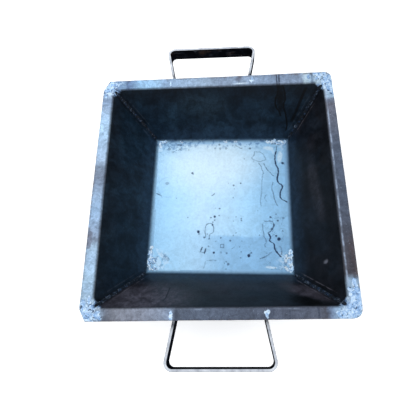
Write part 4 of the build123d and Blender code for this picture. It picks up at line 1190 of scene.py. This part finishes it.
blobs = []
for i, x in enumerate((-78.0, 6.75, 26.0)):
    blobs += drops([(x - 2.6, 122.0), (x + 2.6, 122.0)], 260 + i, gap=1.5, r=(1.5, 2.4), h=(0.5, 0.9), side=0.3)
crust("rear_floor_tacks", blobs, M_PLUG, "weld_metal", "rear_floor_tack_welds", step=0.5, seed=3.0)

# Welds on the flange by the handle legs: (path from the middle, radii)
PLUGS = {
    "front_left": ([((0.3, -5.6), 2.0), ((-0.2, -3.4), 2.7), ((0.2, -1.0), 3.2), ((0.4, 1.6), 3.0), ((0.0, 4.0), 2.5), ((0.2, 5.8), 1.8)], 0.8),
    "front_right": ([((0.6, -4.4), 1.6), ((-0.4, -2.2), 2.4), ((0.0, 0.4), 3.2), ((1.6, 3.0), 2.9), ((-2.4, 2.6), 2.2), ((0.2, 4.4), 1.6)], 1.1),
    "rear_left": ([((0.2, -4.2), 1.7), ((0.0, -2.0), 1.9), ((0.3, 0.4), 1.8), ((-0.1, 2.6), 1.8), ((0.1, 4.2), 1.4)], 0.7),
    "rear_right": ([((-0.4, -5.4), 1.6), ((-0.8, -3.2), 2.8), ((-2.4, -1.6), 2.6), ((1.8, -1.6), 3.0), ((0.8, 1.4), 2.6), ((0.6, 4.0), 1.9), ((1.0, 6.0), 1.3)], 1.1),
}
for k, (leg, (spots, high)) in enumerate(PLUGS.items()):
    lo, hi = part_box(f"rim_plug_weld_{leg}")
    cx, cy = (lo.x + hi.x) / 2 / MM, (lo.y + hi.y) / 2 / MM
    blobs = [(cx + a, cy + b, r, high, 1.0, 1.0, 0.0) for (a, b), r in spots]
    crust(f"plug_weld_{leg}", blobs, M_PLUG, "weld_metal", f"rim_plug_weld_{leg}", step=0.4, seed=70.0 + 7.0 * k,
          keep=lambda x, y: in_rim(x, y, -0.6), rough=0.4)

# Fillet beads where each handle leg meets the wall and the rim's underside.
LEAN = (78.0 - 64.0) / (262.8 - 192.0)
BAR_T = 4.0
TOP_Z, LOW_Z = RIM_Z - SHEET, RIM_Z - SHEET - 25.0
side_len = math.hypot(1.0, LEAN)


def outer_u(z):
    return FOOT + (z - SHEET) * RUN / RISE + SHEET / math.sin(SLOPE)


for k, (leg, (sx, sy)) in enumerate(CORNERS.items()):
    shift = 2.0 if sy < 0 else -10.0
    parts = []
    for j, off in enumerate((-1, 1)):
        def at(u, z, o=off):
            return Vector((shift + sx * (64.0 + (u - 192.0) * LEAN) + o * (BAR_T / 2) * side_len, sy * u, z))
        low, high = LOW_Z + 1.0, TOP_Z - 3.0
        a, b = at(outer_u(low), low), at(outer_u(high), high)
        out = Vector((0.0, sy * math.sin(SLOPE), -math.cos(SLOPE)))
        up = (out + Vector((off, 0.0, 0.0))).normalized()
        parts.append(bead(a, b, up, 2.6, 0.7, math.pi / 4, 60 + 4 * k + j, pitch=2.2, sink=0.4, n=11))
        c, d = at(RIM_T + 0.5, TOP_Z), at(RIM_T + 10.0, TOP_Z)
        up = (Vector((0.0, 0.0, -1.0)) + Vector((off, 0.0, 0.0))).normalized()
        parts.append(bead(c, d, up, 2.0, 0.5, math.pi / 4, 80 + 4 * k + j, pitch=2.0, sink=0.3, n=11))
    joined(f"leg_fillets_{leg}", parts, M_UNDER, f"handle_weld_{leg}", settled=False)

# ---------------------------------------------------------------------------
# Floor, light and camera
# ---------------------------------------------------------------------------
def ground():
    s = Shader("studio_floor", askew=False)
    col = s.stops(s.noise(400.0, 2.0), [(0.3, (0.90, 0.905, 0.91, 1.0)), (0.7, (0.93, 0.932, 0.935, 1.0))])
    mat = s.finish(col, 0.85, 0.0, spec=0.1)
    s.bsdf.inputs["Emission Color"].default_value = (1.0, 1.0, 1.0, 1.0)
    s.bsdf.inputs["Emission Strength"].default_value = 0.4
    e = 9000.0
    ob = make("studio_floor", [(-e, -e, -0.4), (e, -e, -0.4), (e, e, -0.4), (-e, e, -0.4)], [(0, 1, 2, 3)], mat, False, False)


ground()

world = bpy.data.worlds.new("studio")
bpy.context.scene.world = world
world.use_nodes = True
bg = world.node_tree.nodes["Background"]
bg.inputs["Color"].default_value = (0.95, 0.97, 1.0, 1.0)
bg.inputs["Strength"].default_value = 1.0


def area(name, loc, target, size, power, color=(1.0, 1.0, 1.0)):
    li = bpy.data.lights.new(name, "AREA")
    li.shape = "SQUARE"
    li.size = size
    li.energy = power
    li.color = color
    ob = bpy.data.objects.new(name, li)
    bpy.context.scene.collection.objects.link(ob)
    ob.location = loc
    ob.rotation_mode = "QUATERNION"
    ob.rotation_quaternion = (Vector(target) - Vector(loc)).to_track_quat("-Z", "Y")
    return ob


area("key", (-0.9, 0.9, 1.9), (0.0, 0.0, 0.05), 1.6, 14.0)
area("fill", (1.3, -0.6, 1.5), (0.0, 0.0, 0.05), 1.4, 6.0)

cam_data = bpy.data.cameras.new("camera")
cam = bpy.data.objects.new("camera", cam_data)
bpy.context.scene.collection.objects.link(cam)
bpy.context.scene.camera = cam
cam_data.sensor_width = 36.0
cam_data.sensor_fit = "HORIZONTAL"
cam_data.lens = 33.118
cam_data.shift_x = -0.0278
cam_data.shift_y = -0.0646
cam_data.clip_start = 0.01
cam_data.clip_end = 50.0
right = Vector((0.998622, -0.007235, -0.051978))
down = Vector((-0.024173, -0.942537, -0.333226))
ahead = Vector((-0.04658, 0.334024, -0.941413))
cam.matrix_world = Matrix((
    (right.x, -down.x, -ahead.x, 0.03122),
    (right.y, -down.y, -ahead.y, -0.19435),
    (right.z, -down.z, -ahead.z, 0.66852),
    (0.0, 0.0, 0.0, 1.0),
))

sc = bpy.context.scene
sc.view_settings.view_transform = "Standard"
sc.view_settings.look = "None"
sc.view_settings.exposure = 0.0
sc.view_settings.gamma = 1.0
